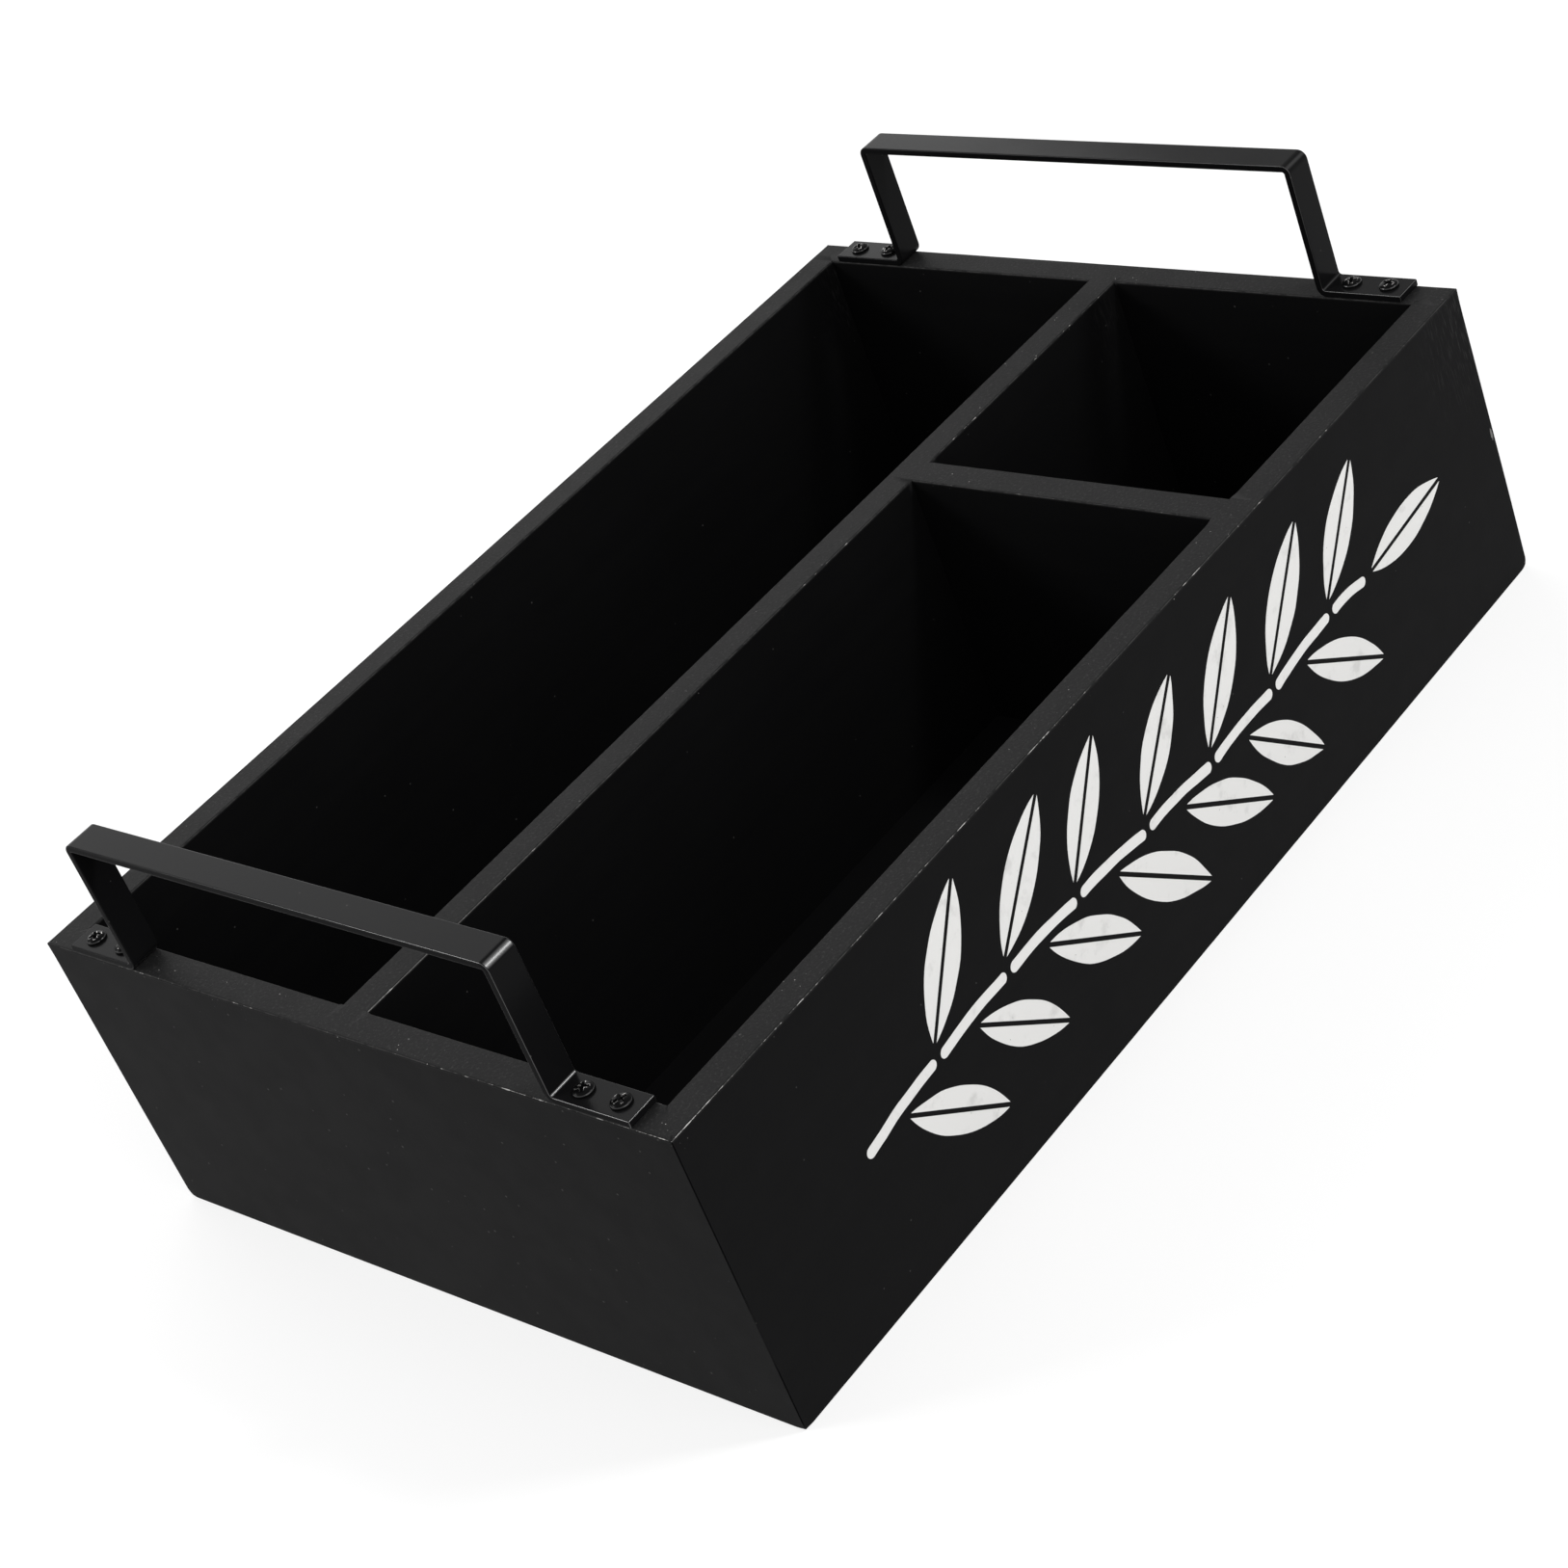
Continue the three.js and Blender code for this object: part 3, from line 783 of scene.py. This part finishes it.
def branch():
    """The stem's strokes from tail to tip, with leaves on either side in turn and one at the tip."""
    bm = bmesh.new()
    joints = LEAVES_PER_SIDE * 2
    step = 0.5 * LEAF_SPACING
    knots = []
    for index in range(joints):
        x = (index - 0.5 * (joints - 1)) * step - STEM_SHIFT
        knots.append(Vector((x, STEM_SWAY * math.sin(STEM_WAVE * index), 0.0)))
    for index, knot in enumerate(knots):
        upper = index % 2 == 1
        size = LEAF_SIZE + LEAF_SIZE_SPREAD * math.sin(LEAF_SIZE_WAVE * index)
        lean = (UPPER_LEAN if upper else LOWER_LEAN) + LEAN_SPREAD * math.sin(LEAN_WAVE * index)
        away = Vector((0.0, (1.0 if upper else -1.0) * (0.5 * STEM_WIDTH + BRIDGE), 0.0))
        leaf(bm, knot + away, lean, size)
    tip = knots[-1] + Vector((step + TIP_REACH[0], TIP_REACH[1], 0.0))
    leaf(bm, tip + Vector((BRIDGE, 0.0, 0.0)), TIP_LEAN, LEAF_SIZE)
    tail = knots[0] - Vector((TAIL_STEPS * step, TAIL_DROP, 0.0))
    stem = [tail] + knots[1::2] + [tip]
    gap = Vector((0.5 * (STEM_WIDTH + BRIDGE), 0.0, 0.0))
    for first, second in zip(stem[:-1], stem[1:]):
        dab(bm, first + gap, second - gap, STEM_WIDTH, bow=STEM_BOW)
    noise.seed_set(WOBBLE_SEED)
    for vert in bm.verts:
        shake = noise.noise_vector(vert.co * WOBBLE_SCALE)
        vert.co.x += WOBBLE * shake.x
        vert.co.y += WOBBLE * shake.y
    return bm


def lay_on_front(bm):
    """Gives the ink its thickness and stands it on the front wall."""
    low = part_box("front_panel")[0]
    film = bmesh.ops.extrude_face_region(bm, geom=bm.faces[:], use_keep_orig=True)
    top = [item for item in film["geom"] if isinstance(item, bmesh.types.BMVert)]
    bmesh.ops.translate(bm, vec=(0.0, 0.0, INK_FILM + INK_KEYED), verts=top)
    bmesh.ops.recalc_face_normals(bm, faces=bm.faces[:])
    upright = Matrix.Rotation(0.5 * math.pi, 4, "X")
    stand = Matrix.Translation((0.0, low.y + INK_FILM + INK_KEYED, PRINT_MIDDLE_Z))
    bmesh.ops.transform(bm, matrix=stand @ upright, verts=bm.verts[:])


branch_mesh = branch()
lay_on_front(branch_mesh)
leaf_print = finish_piece("leaf_print", branch_mesh, ink_material())
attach(leaf_print, "root")

# Handles: two lengths of steel strap, bent cold into low staples and powder coated satin black.
# Their feet are turned outwards along the rim, each drilled for two screws. Hands have polished the coat
# on the bends and along the arrises.
STRAP_THICKNESS = 1.8 * MM
STRAP_EDGE = 0.32 * MM
STRAP_EDGE_STEPS = 4
ARRIS_ANGLE = math.radians(60.0)
BAR_BEND = 0.5 * MM
FOOT_BEND = 0.8 * MM
FOOT_LENGTH = 21.5 * MM
BEND_STEPS = 10
COAT_BLACK = (0.0055, 0.0055, 0.0058, 1.0)
# Lighter coat on the arrises: thin coat, and a painted highlight along them.
THIN_COAT_AND_HIGHLIGHT = (0.0500, 0.0495, 0.0485, 1.0)
COAT_WORN = (0.130, 0.127, 0.122, 1.0)
POLISHED = {"left_handle": 1.0, "right_handle": 0.78}
POLISH_ROUGHNESS = 0.37
POLISH_INDEX = 1.8
POLISHED_BENDS = (0.62, 1.0)
POLISHED_ARRISES = (0.70, 1.0)
THIN_AND_LIT_ON_ARRISES = (0.75, 1.0)
# The arris marks fade towards the back and on the less polished handle: painted highlight falloff as well as
# less wear.
BACK_ARRIS_FADE = 0.34
BACK_BEND_SPARED = 0.1
LESS_POLISHED_FADE = 0.1
COAT_PATCHES = 70.0
COAT_ROUGHNESS = (0.17, 0.22)
SATIN_SPECULAR = 0.035
SHEARED_SPECULAR = 0.008
SHEARED_SIDE = 0.99


def strap_coat(name, specular):
    """Powder coat that is thin and lighter on the arrises, which is also a painted highlight there, and
    polished there and on the bends.
    """
    material, tree, shader = new_material(name)
    on_piece = place(tree, "ShaderNodeTexCoord").outputs["Object"]
    skin = use_group(tree, SPRAYED_SKIN, {"Vector": on_piece, "Scale": 2600.0})
    edge = recorded(tree, "wear")
    rubbed = use_group(tree, RUBBED_EDGE, {"Vector": on_piece, "Edge": edge, "Amount": 0.8})
    dust = use_group(tree, DUST_SPECKS, {"Vector": on_piece, "Scale": 420.0, "Share": 0.10})
    # Thin coat and painted highlight along the arrises.
    coat = mix_colour(tree, ramp(tree, edge, *THIN_AND_LIT_ON_ARRISES), COAT_BLACK, THIN_COAT_AND_HIGHLIGHT)
    worn = mix_colour(tree, rubbed.outputs["Mask"], coat, COAT_WORN)
    tree.links.new(mix_colour(tree, dust.outputs["Mask"], worn, DUST_GREY), shader.inputs["Base Color"])
    patches = noise_value(tree, on_piece, COAT_PATCHES)
    tree.links.new(ramp(tree, patches, *NOISE_SPAN, *COAT_ROUGHNESS), shader.inputs["Roughness"])
    turned = recorded(tree, "turned")
    bends = ramp(tree, turned, *POLISHED_BENDS)
    polished = maths(tree, "MAXIMUM", bends, ramp(tree, edge, *POLISHED_ARRISES))
    tree.links.new(polished, shader.inputs["Coat Weight"])
    shader.inputs["Coat Roughness"].default_value = POLISH_ROUGHNESS
    shader.inputs["Coat IOR"].default_value = POLISH_INDEX
    raise_surface(tree, shader, skin.outputs["Height"], strength=0.12, distance=0.1 * MM)
    shader.inputs["Specular IOR Level"].default_value = specular
    return material


def pull(bm, ring, move):
    """Draws the open end of the strap straight on by move."""
    drawn = bmesh.ops.extrude_edge_only(bm, edges=ring)
    verts = [item for item in drawn["geom"] if isinstance(item, bmesh.types.BMVert)]
    bmesh.ops.translate(bm, vec=move, verts=verts)
    return end_ring(verts)


def bend(bm, ring, y, z, x, turn):
    """Bends the open end of the strap about a line across it."""
    verts = list(dict.fromkeys(vert for edge in ring for vert in edge.verts))
    turned = bmesh.ops.spin(
        bm,
        geom=ring + verts,
        cent=(x, y, z),
        axis=(1.0, 0.0, 0.0),
        angle=turn,
        steps=BEND_STEPS,
    )
    return end_ring([item for item in turned["geom_last"] if isinstance(item, bmesh.types.BMVert)])


def end_ring(verts):
    """The edges that join these vertices, each once, in the order in which they are met."""
    members = set(verts)
    met = [edge for vert in verts for edge in vert.link_edges if set(edge.verts) <= members]
    return list(dict.fromkeys(met))


def bent_strap(node):
    """The strap, drawn from the front foot up over the bar and down to the back foot."""
    low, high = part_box(node)
    middle_x = 0.5 * (low.x + high.x)
    leg = high.y - FOOT_LENGTH
    bar_turn = BAR_BEND + STRAP_THICKNESS
    foot_turn = FOOT_BEND + STRAP_THICKNESS
    foot_run = FOOT_LENGTH - FOOT_BEND
    leg_run = high.z - low.z - bar_turn - foot_turn
    bm = bmesh.new()
    foot_top = low.z + STRAP_THICKNESS
    corners = [(low.x, low.z), (high.x, low.z), (high.x, foot_top), (low.x, foot_top)]
    verts = [bm.verts.new((x, low.y, z)) for x, z in corners]
    ring = [bm.edges.new((verts[index - 1], verts[index])) for index in range(4)]
    ring = pull(bm, ring, (0.0, foot_run, 0.0))
    ring = bend(bm, ring, -leg - FOOT_BEND, low.z + foot_turn, middle_x, 0.5 * math.pi)
    ring = pull(bm, ring, (0.0, 0.0, leg_run))
    ring = bend(bm, ring, bar_turn - leg, high.z - bar_turn, middle_x, -0.5 * math.pi)
    ring = pull(bm, ring, (0.0, 2.0 * (leg - bar_turn), 0.0))
    ring = bend(bm, ring, leg - bar_turn, high.z - bar_turn, middle_x, -0.5 * math.pi)
    ring = pull(bm, ring, (0.0, 0.0, -leg_run))
    ring = bend(bm, ring, leg + FOOT_BEND, low.z + foot_turn, middle_x, 0.5 * math.pi)
    pull(bm, ring, (0.0, foot_run, 0.0))
    bmesh.ops.holes_fill(bm, edges=[edge for edge in bm.edges if edge.is_boundary], sides=4)
    bmesh.ops.recalc_face_normals(bm, faces=bm.faces[:])
    return bm


def ease_strap(bm, polish):
    """Rounds the strap's arrises, where the coat wears and a painted highlight is marked that fades towards
    the back and on the less polished handle, and marks the bends, which hands have polished.
    """
    wear = bm.verts.layers.float.new("wear")
    turned = bm.verts.layers.float.new("turned")
    sharp = [edge for edge in bm.edges if edge.calc_face_angle(0.0) > ARRIS_ANGLE]
    rounded = bmesh.ops.bevel(
        bm,
        geom=sharp,
        offset=STRAP_EDGE,
        segments=STRAP_EDGE_STEPS,
        profile=0.5,
        affect="EDGES",
        material=-1,
        clamp_overlap=True,
    )
    strip = set(rounded["faces"])
    bm.normal_update()
    for face in bm.faces:
        face.material_index = 1 if abs(face.normal.x) > SHEARED_SIDE else 0
    for vert in bm.verts:
        x, y, z = [abs(part) for part in vert.normal]
        to_back = 0.5 + 0.5 * vert.co.y / cad_box[1][1]
        if all(face in strip for face in vert.link_faces):
            arris = 2.0 * max(x * math.sqrt(max(0.0, 1.0 - x * x)), y * z)
            # The painted highlight and the wear on the arrises fade towards the back and on the less
            # polished handle.
            faded = LESS_POLISHED_FADE * (1.0 - polish)
            vert[wear] = arris * (1.0 - BACK_ARRIS_FADE * to_back) * (1.0 - faded)
        else:
            vert[turned] = 2.0 * y * z * polish * (1.0 - BACK_BEND_SPARED * to_back)


SATIN_COAT = strap_coat("satin_powder_coat", SATIN_SPECULAR)
SHEARED_COAT = strap_coat("powder_coat_on_sheared_sides", SHEARED_SPECULAR)

for node, polish in POLISHED.items():
    strap = bent_strap(node)
    ease_strap(strap, polish)
    handle = finish_piece(node + "_coated", strap, SATIN_COAT)
    handle.data.materials.append(SHEARED_COAT)
    shade_rounds(handle)
    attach(handle, "root")
    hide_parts(node)

# Screws: pan-head wood screws of blackened steel with a cross recess, two through each foot into the wall.
# The driver has scraped the black off the recess, and each was left at the turn where it pulled tight.
SHANK_RADIUS = 1.2 * MM
SCREW_LENGTH = 12.0 * MM
SCREW_TIP = 3.0 * MM
HEAD_RADIUS = 2.4 * MM
HEAD_EDGE = 0.1 * MM
HEAD_RIM = 0.25 * MM
HEAD_HEIGHT = 1.3 * MM
RECESS_ARM = 1.55 * MM
RECESS_HALF_SLOT = 0.46 * MM
RECESS_DEPTH = 0.9 * MM
RECESS_TAPER = 0.6
DRIVER_ABOVE = 0.05 * MM
LIP_OUTSIDE = (0.13 * MM, 0.039 * MM)
LIP_INSIDE = (-0.08 * MM, -0.04 * MM)
CROWN_FROM = 1.1 * RECESS_ARM
CROWN_FULLNESS = 2.3
CROWN_STEPS = 14
TURN_STEPS = 48
SCREW_CRISP_ANGLE = math.radians(35.0)
SCRAPED_PATCHES = 1100.0
SCRAPED_SHOWN = (0.47, 0.60)
SCRAPED_METALLIC = 0.9
SCREW_PATCHES = 2200.0
SCREW_ROUGHNESS = (0.20, 0.30)
SCREW_SPECULAR = 0.035
SHOULDER_SHOWN = (0.82, 1.0)
SHOULDER_ROUGHNESS = 0.25
SCREW_BLACK = (0.0030, 0.0030, 0.0032, 1.0)
SCREW_BRIGHT = (0.44, 0.43, 0.42, 1.0)
DRIVEN_TO = {
    "left_front_inner_screw": 32.0,
    "left_front_outer_screw": 66.0,
    "left_back_inner_screw": 12.0,
    "left_back_outer_screw": 51.0,
    "right_front_inner_screw": 24.0,
    "right_front_outer_screw": 78.0,
    "right_back_inner_screw": 5.0,
    "right_back_outer_screw": 40.0,
}


def screw_finish():
    """Blackened steel, scraped bright on the lips of the recess and polished on the shoulder."""
    material, tree, shader = new_material("blackened_screw_steel")
    on_piece = place(tree, "ShaderNodeTexCoord").outputs["Object"]
    on_screw = place(tree, "ShaderNodeAttribute", attribute_name="on_screw").outputs["Vector"]
    size = place(tree, "ShaderNodeVectorMath", {0: on_screw}, operation="ABSOLUTE").outputs["Vector"]
    across = place(tree, "ShaderNodeSeparateXYZ", {"Vector": size}).outputs
    beyond_arm = [maths(tree, "SUBTRACT", across[axis], RECESS_ARM) for axis in "XY"]
    beyond_slot = [maths(tree, "SUBTRACT", across[axis], RECESS_HALF_SLOT) for axis in "YX"]
    arms = [maths(tree, "MAXIMUM", *pair) for pair in zip(beyond_arm, beyond_slot)]
    to_recess = maths(tree, "MINIMUM", *arms)
    outside_lip = ramp(tree, to_recess, *LIP_OUTSIDE)
    lip = maths(tree, "MULTIPLY", outside_lip, ramp(tree, to_recess, *LIP_INSIDE))
    patches = ramp(tree, noise_value(tree, on_piece, SCRAPED_PATCHES), *SCRAPED_SHOWN)
    bright = maths(tree, "MULTIPLY", lip, patches)
    tree.links.new(mix_colour(tree, bright, SCREW_BLACK, SCREW_BRIGHT), shader.inputs["Base Color"])
    tree.links.new(mix_value(tree, bright, 0.0, SCRAPED_METALLIC), shader.inputs["Metallic"])
    rough = noise_value(tree, on_piece, SCREW_PATCHES)
    tree.links.new(ramp(tree, rough, *NOISE_SPAN, *SCREW_ROUGHNESS), shader.inputs["Roughness"])
    skin = use_group(tree, SPRAYED_SKIN, {"Vector": on_piece, "Scale": 2800.0})
    raise_surface(tree, shader, skin.outputs["Height"], strength=0.1, distance=0.08 * MM)
    shader.inputs["Specular IOR Level"].default_value = SCREW_SPECULAR
    shoulder = recorded(tree, "polish")
    tree.links.new(ramp(tree, shoulder, *SHOULDER_SHOWN), shader.inputs["Coat Weight"])
    shader.inputs["Coat Roughness"].default_value = SHOULDER_ROUGHNESS
    return material


def turned_screw():
    """Half the screw's outline, spun about its axis, with the underside of the head at z = 0."""
    bm = bmesh.new()
    outline = [(0.0, -SCREW_LENGTH), (SHANK_RADIUS, SCREW_TIP - SCREW_LENGTH), (SHANK_RADIUS, 0.0)]
    outline += [(HEAD_RADIUS - HEAD_EDGE, 0.0), (HEAD_RADIUS, HEAD_EDGE)]
    for step in range(CROWN_STEPS + 1):
        lift = 0.5 * math.pi * step / CROWN_STEPS
        crown = (HEAD_HEIGHT - HEAD_RIM) * math.sin(lift) ** (2.0 / CROWN_FULLNESS)
        outline.append((HEAD_RADIUS * max(0.0, math.cos(lift)) ** (2.0 / CROWN_FULLNESS), HEAD_RIM + crown))
    verts = [bm.verts.new((radius, 0.0, z)) for radius, z in outline]
    edges = [bm.edges.new(pair) for pair in zip(verts[:-1], verts[1:])]
    bmesh.ops.spin(
        bm,
        geom=verts + edges,
        cent=(0.0, 0.0, 0.0),
        axis=(0.0, 0.0, 1.0),
        angle=2.0 * math.pi,
        steps=TURN_STEPS,
        use_merge=True,
    )
    bmesh.ops.remove_doubles(bm, verts=bm.verts, dist=WELD)
    bmesh.ops.recalc_face_normals(bm, faces=bm.faces[:])
    return bm


def driver_tip():
    """The point of a cross driver: a cross in plan that narrows towards its end."""
    bm = bmesh.new()
    quarter = [
        Vector((RECESS_ARM, -RECESS_HALF_SLOT, 0.0)),
        Vector((RECESS_ARM, RECESS_HALF_SLOT, 0.0)),
        Vector((RECESS_HALF_SLOT, RECESS_HALF_SLOT, 0.0)),
    ]
    turns = [Matrix.Rotation(0.5 * math.pi * index, 4, "Z") for index in range(4)]
    face = bm.faces.new([bm.verts.new(turn @ corner) for turn in turns for corner in quarter])
    drawn = bmesh.ops.extrude_face_region(bm, geom=[face], use_keep_orig=True)
    point = [item for item in drawn["geom"] if isinstance(item, bmesh.types.BMVert)]
    bmesh.ops.translate(bm, vec=(0.0, 0.0, -RECESS_DEPTH - DRIVER_ABOVE), verts=point)
    bmesh.ops.scale(bm, vec=(RECESS_TAPER, RECESS_TAPER, 1.0), verts=point)
    bmesh.ops.translate(bm, vec=(0.0, 0.0, HEAD_HEIGHT + DRIVER_ABOVE), verts=bm.verts[:])
    bmesh.ops.recalc_face_normals(bm, faces=bm.faces[:])
    return bm


def recessed_screw(finish):
    """The turned screw with the driver's point taken out of its head."""
    screw = finish_piece("screw_blank", turned_screw(), finish)
    tip = finish_piece("driver_tip", driver_tip(), finish)
    cut = screw.modifiers.new("recess", "BOOLEAN")
    cut.operation = "DIFFERENCE"
    cut.solver = "EXACT"
    cut.object = tip
    bpy.context.view_layer.update()
    carved = screw.evaluated_get(bpy.context.evaluated_depsgraph_get())
    bm = bmesh.new()
    bm.from_mesh(carved.data)
    bmesh.ops.dissolve_degenerate(bm, dist=WELD, edges=bm.edges[:])
    for scrap in (screw, tip):
        bpy.data.objects.remove(scrap)
    polish = bm.verts.layers.float.new("polish")
    on_screw = bm.verts.layers.float_vector.new("on_screw")
    bm.normal_update()
    for vert in bm.verts:
        on_crown = vert.co.xy.length > CROWN_FROM and vert.co.z > 0.5 * HEAD_RIM
        vert[polish] = math.sin(math.pi * min(1.0, max(0.0, vert.normal.z))) if on_crown else 0.0
        vert[on_screw] = vert.co
    return bm


BLACKENED = screw_finish()
master = recessed_screw(BLACKENED)

for node, angle in DRIVEN_TO.items():
    low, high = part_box(node)
    screw = master.copy()
    seat = Matrix.Translation((0.5 * (low.x + high.x), 0.5 * (low.y + high.y), high.z - HEAD_HEIGHT))
    turn = Matrix.Rotation(math.radians(angle), 4, "Z")
    bmesh.ops.transform(screw, matrix=seat @ turn, verts=screw.verts[:])
    for face in screw.faces:
        face.smooth = True
    fastener = finish_piece(node + "_blackened", screw, BLACKENED)
    fastener.data.set_sharp_from_angle(angle=SCREW_CRISP_ANGLE)
    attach(fastener, "root")
    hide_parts(node)
master.free()

# Floor: a seamless sheet of white studio paper under the box. It is lit like any paper, and to the camera
# it is lifted to white, so that only the soft shadow of the box is left on it.
FLOOR_HALF = 4.0
PAPER = (0.45, 0.45, 0.45, 1.0)
PAPER_SHADOWED = (0.32, 0.32, 0.32, 1.0)
PAPER_LIFT = 0.72
PAPER_FIBRES = 300.0
WHITE = (1.0, 1.0, 1.0, 1.0)


def seen_directly(tree):
    """1 for what the camera sees, in a mirror or through glass too, and 0 for the light that things shed."""
    path = place(tree, "ShaderNodeLightPath").outputs
    mirrored = maths(tree, "MAXIMUM", path["Is Glossy Ray"], path["Is Transmission Ray"])
    return maths(tree, "MAXIMUM", path["Is Camera Ray"], mirrored)


def paper_material():
    material, tree, shader = new_material("studio_paper")
    tree.nodes.remove(shader)
    on_piece = place(tree, "ShaderNodeTexCoord").outputs["Object"]
    lit = place(tree, "ShaderNodeBsdfDiffuse", {"Color": PAPER})
    shaded = place(tree, "ShaderNodeBsdfDiffuse", {"Color": PAPER_SHADOWED})
    fibres = noise_value(tree, on_piece, PAPER_FIBRES)
    for paper_shader in (lit, shaded):
        raise_surface(tree, paper_shader, fibres, strength=0.05, distance=0.1 * MM)
    lift = place(tree, "ShaderNodeEmission", {"Color": WHITE, "Strength": PAPER_LIFT})
    lifted = place(tree, "ShaderNodeAddShader", {0: shaded.outputs[0], 1: lift.outputs[0]})
    views = {0: seen_directly(tree), 1: lit.outputs[0], 2: lifted.outputs[0]}
    sheet = place(tree, "ShaderNodeMixShader", views)
    tree.links.new(sheet.outputs[0], tree.nodes["Material Output"].inputs["Surface"])
    return material


paper = bmesh.new()
bmesh.ops.create_grid(paper, x_segments=8, y_segments=8, size=FLOOR_HALF)
floor = finish_piece("studio_floor", paper, paper_material())

# Light: a white room with one wide panel of light behind the right end, which whitens the tops, and one in
# front. Two soft boxes, behind the left end and to the front right, draw the bright lines on the steel.
ROOM_LIGHT = 0.42
LAMPS = {
    "back_right_panel": {"place": (0.62, 1.27, 0.90), "side": 1.40, "watts": 11.5},
    "back_left_softbox": {"place": (-0.90, 1.02, 0.86), "side": 0.45, "watts": 9.5},
    "front_right_softbox": {"place": (0.56, -1.03, 1.19), "side": 0.20, "watts": 9.5},
    "front_panel_of_light": {"place": (-0.35, -1.35, 0.85), "side": 1.30, "watts": 9.0},
}
LIGHT_AIM = Vector((0.0, 0.0, 0.05))

for name, lamp in LAMPS.items():
    softbox = bpy.data.lights.new(name, "AREA")
    softbox.size = lamp["side"]
    softbox.energy = lamp["watts"]
    holder = bpy.data.objects.new(name, softbox)
    holder.location = lamp["place"]
    holder.rotation_euler = (LIGHT_AIM - Vector(lamp["place"])).to_track_quat("-Z", "Y").to_euler()
    bpy.context.scene.collection.objects.link(holder)

room = bpy.data.worlds.new("white_room")
bpy.context.scene.world = room
room.use_nodes = True
room_tree = room.node_tree
strength = mix_value(room_tree, seen_directly(room_tree), ROOM_LIGHT, 1.0)
white_walls = room_tree.nodes["Background"]
white_walls.inputs["Color"].default_value = WHITE
room_tree.links.new(strength, white_walls.inputs["Strength"])
bpy.context.scene.view_settings.view_transform = "Standard"

# Camera: held above the front left corner and rolled, as the box was photographed, with a long lens.
# The lens is shifted, because the picture's middle lies beside the optical axis.
PHOTO_SIDE = 1627.0
OPTICAL_AXIS_PIXEL = (777.0, 696.0)
FOCAL_PIXELS = 3551.8
SENSOR_WIDTH = 36.0
NEAREST_SEEN = 0.01
CAMERA_PLACE = (-0.43187, -0.52778, 0.47500)
CAMERA_TURN = (57.0644, 19.0135, -50.4905)

lens = bpy.data.cameras.new("photo_camera")
lens.sensor_width = SENSOR_WIDTH
lens.lens = FOCAL_PIXELS / PHOTO_SIDE * SENSOR_WIDTH
lens.shift_x = (0.5 * PHOTO_SIDE - OPTICAL_AXIS_PIXEL[0]) / PHOTO_SIDE
lens.shift_y = (OPTICAL_AXIS_PIXEL[1] - 0.5 * PHOTO_SIDE) / PHOTO_SIDE
lens.clip_start = NEAREST_SEEN
camera = bpy.data.objects.new("photo_camera", lens)
camera.location = CAMERA_PLACE
camera.rotation_euler = Euler([math.radians(turn) for turn in CAMERA_TURN])
bpy.context.scene.collection.objects.link(camera)
bpy.context.scene.camera = camera
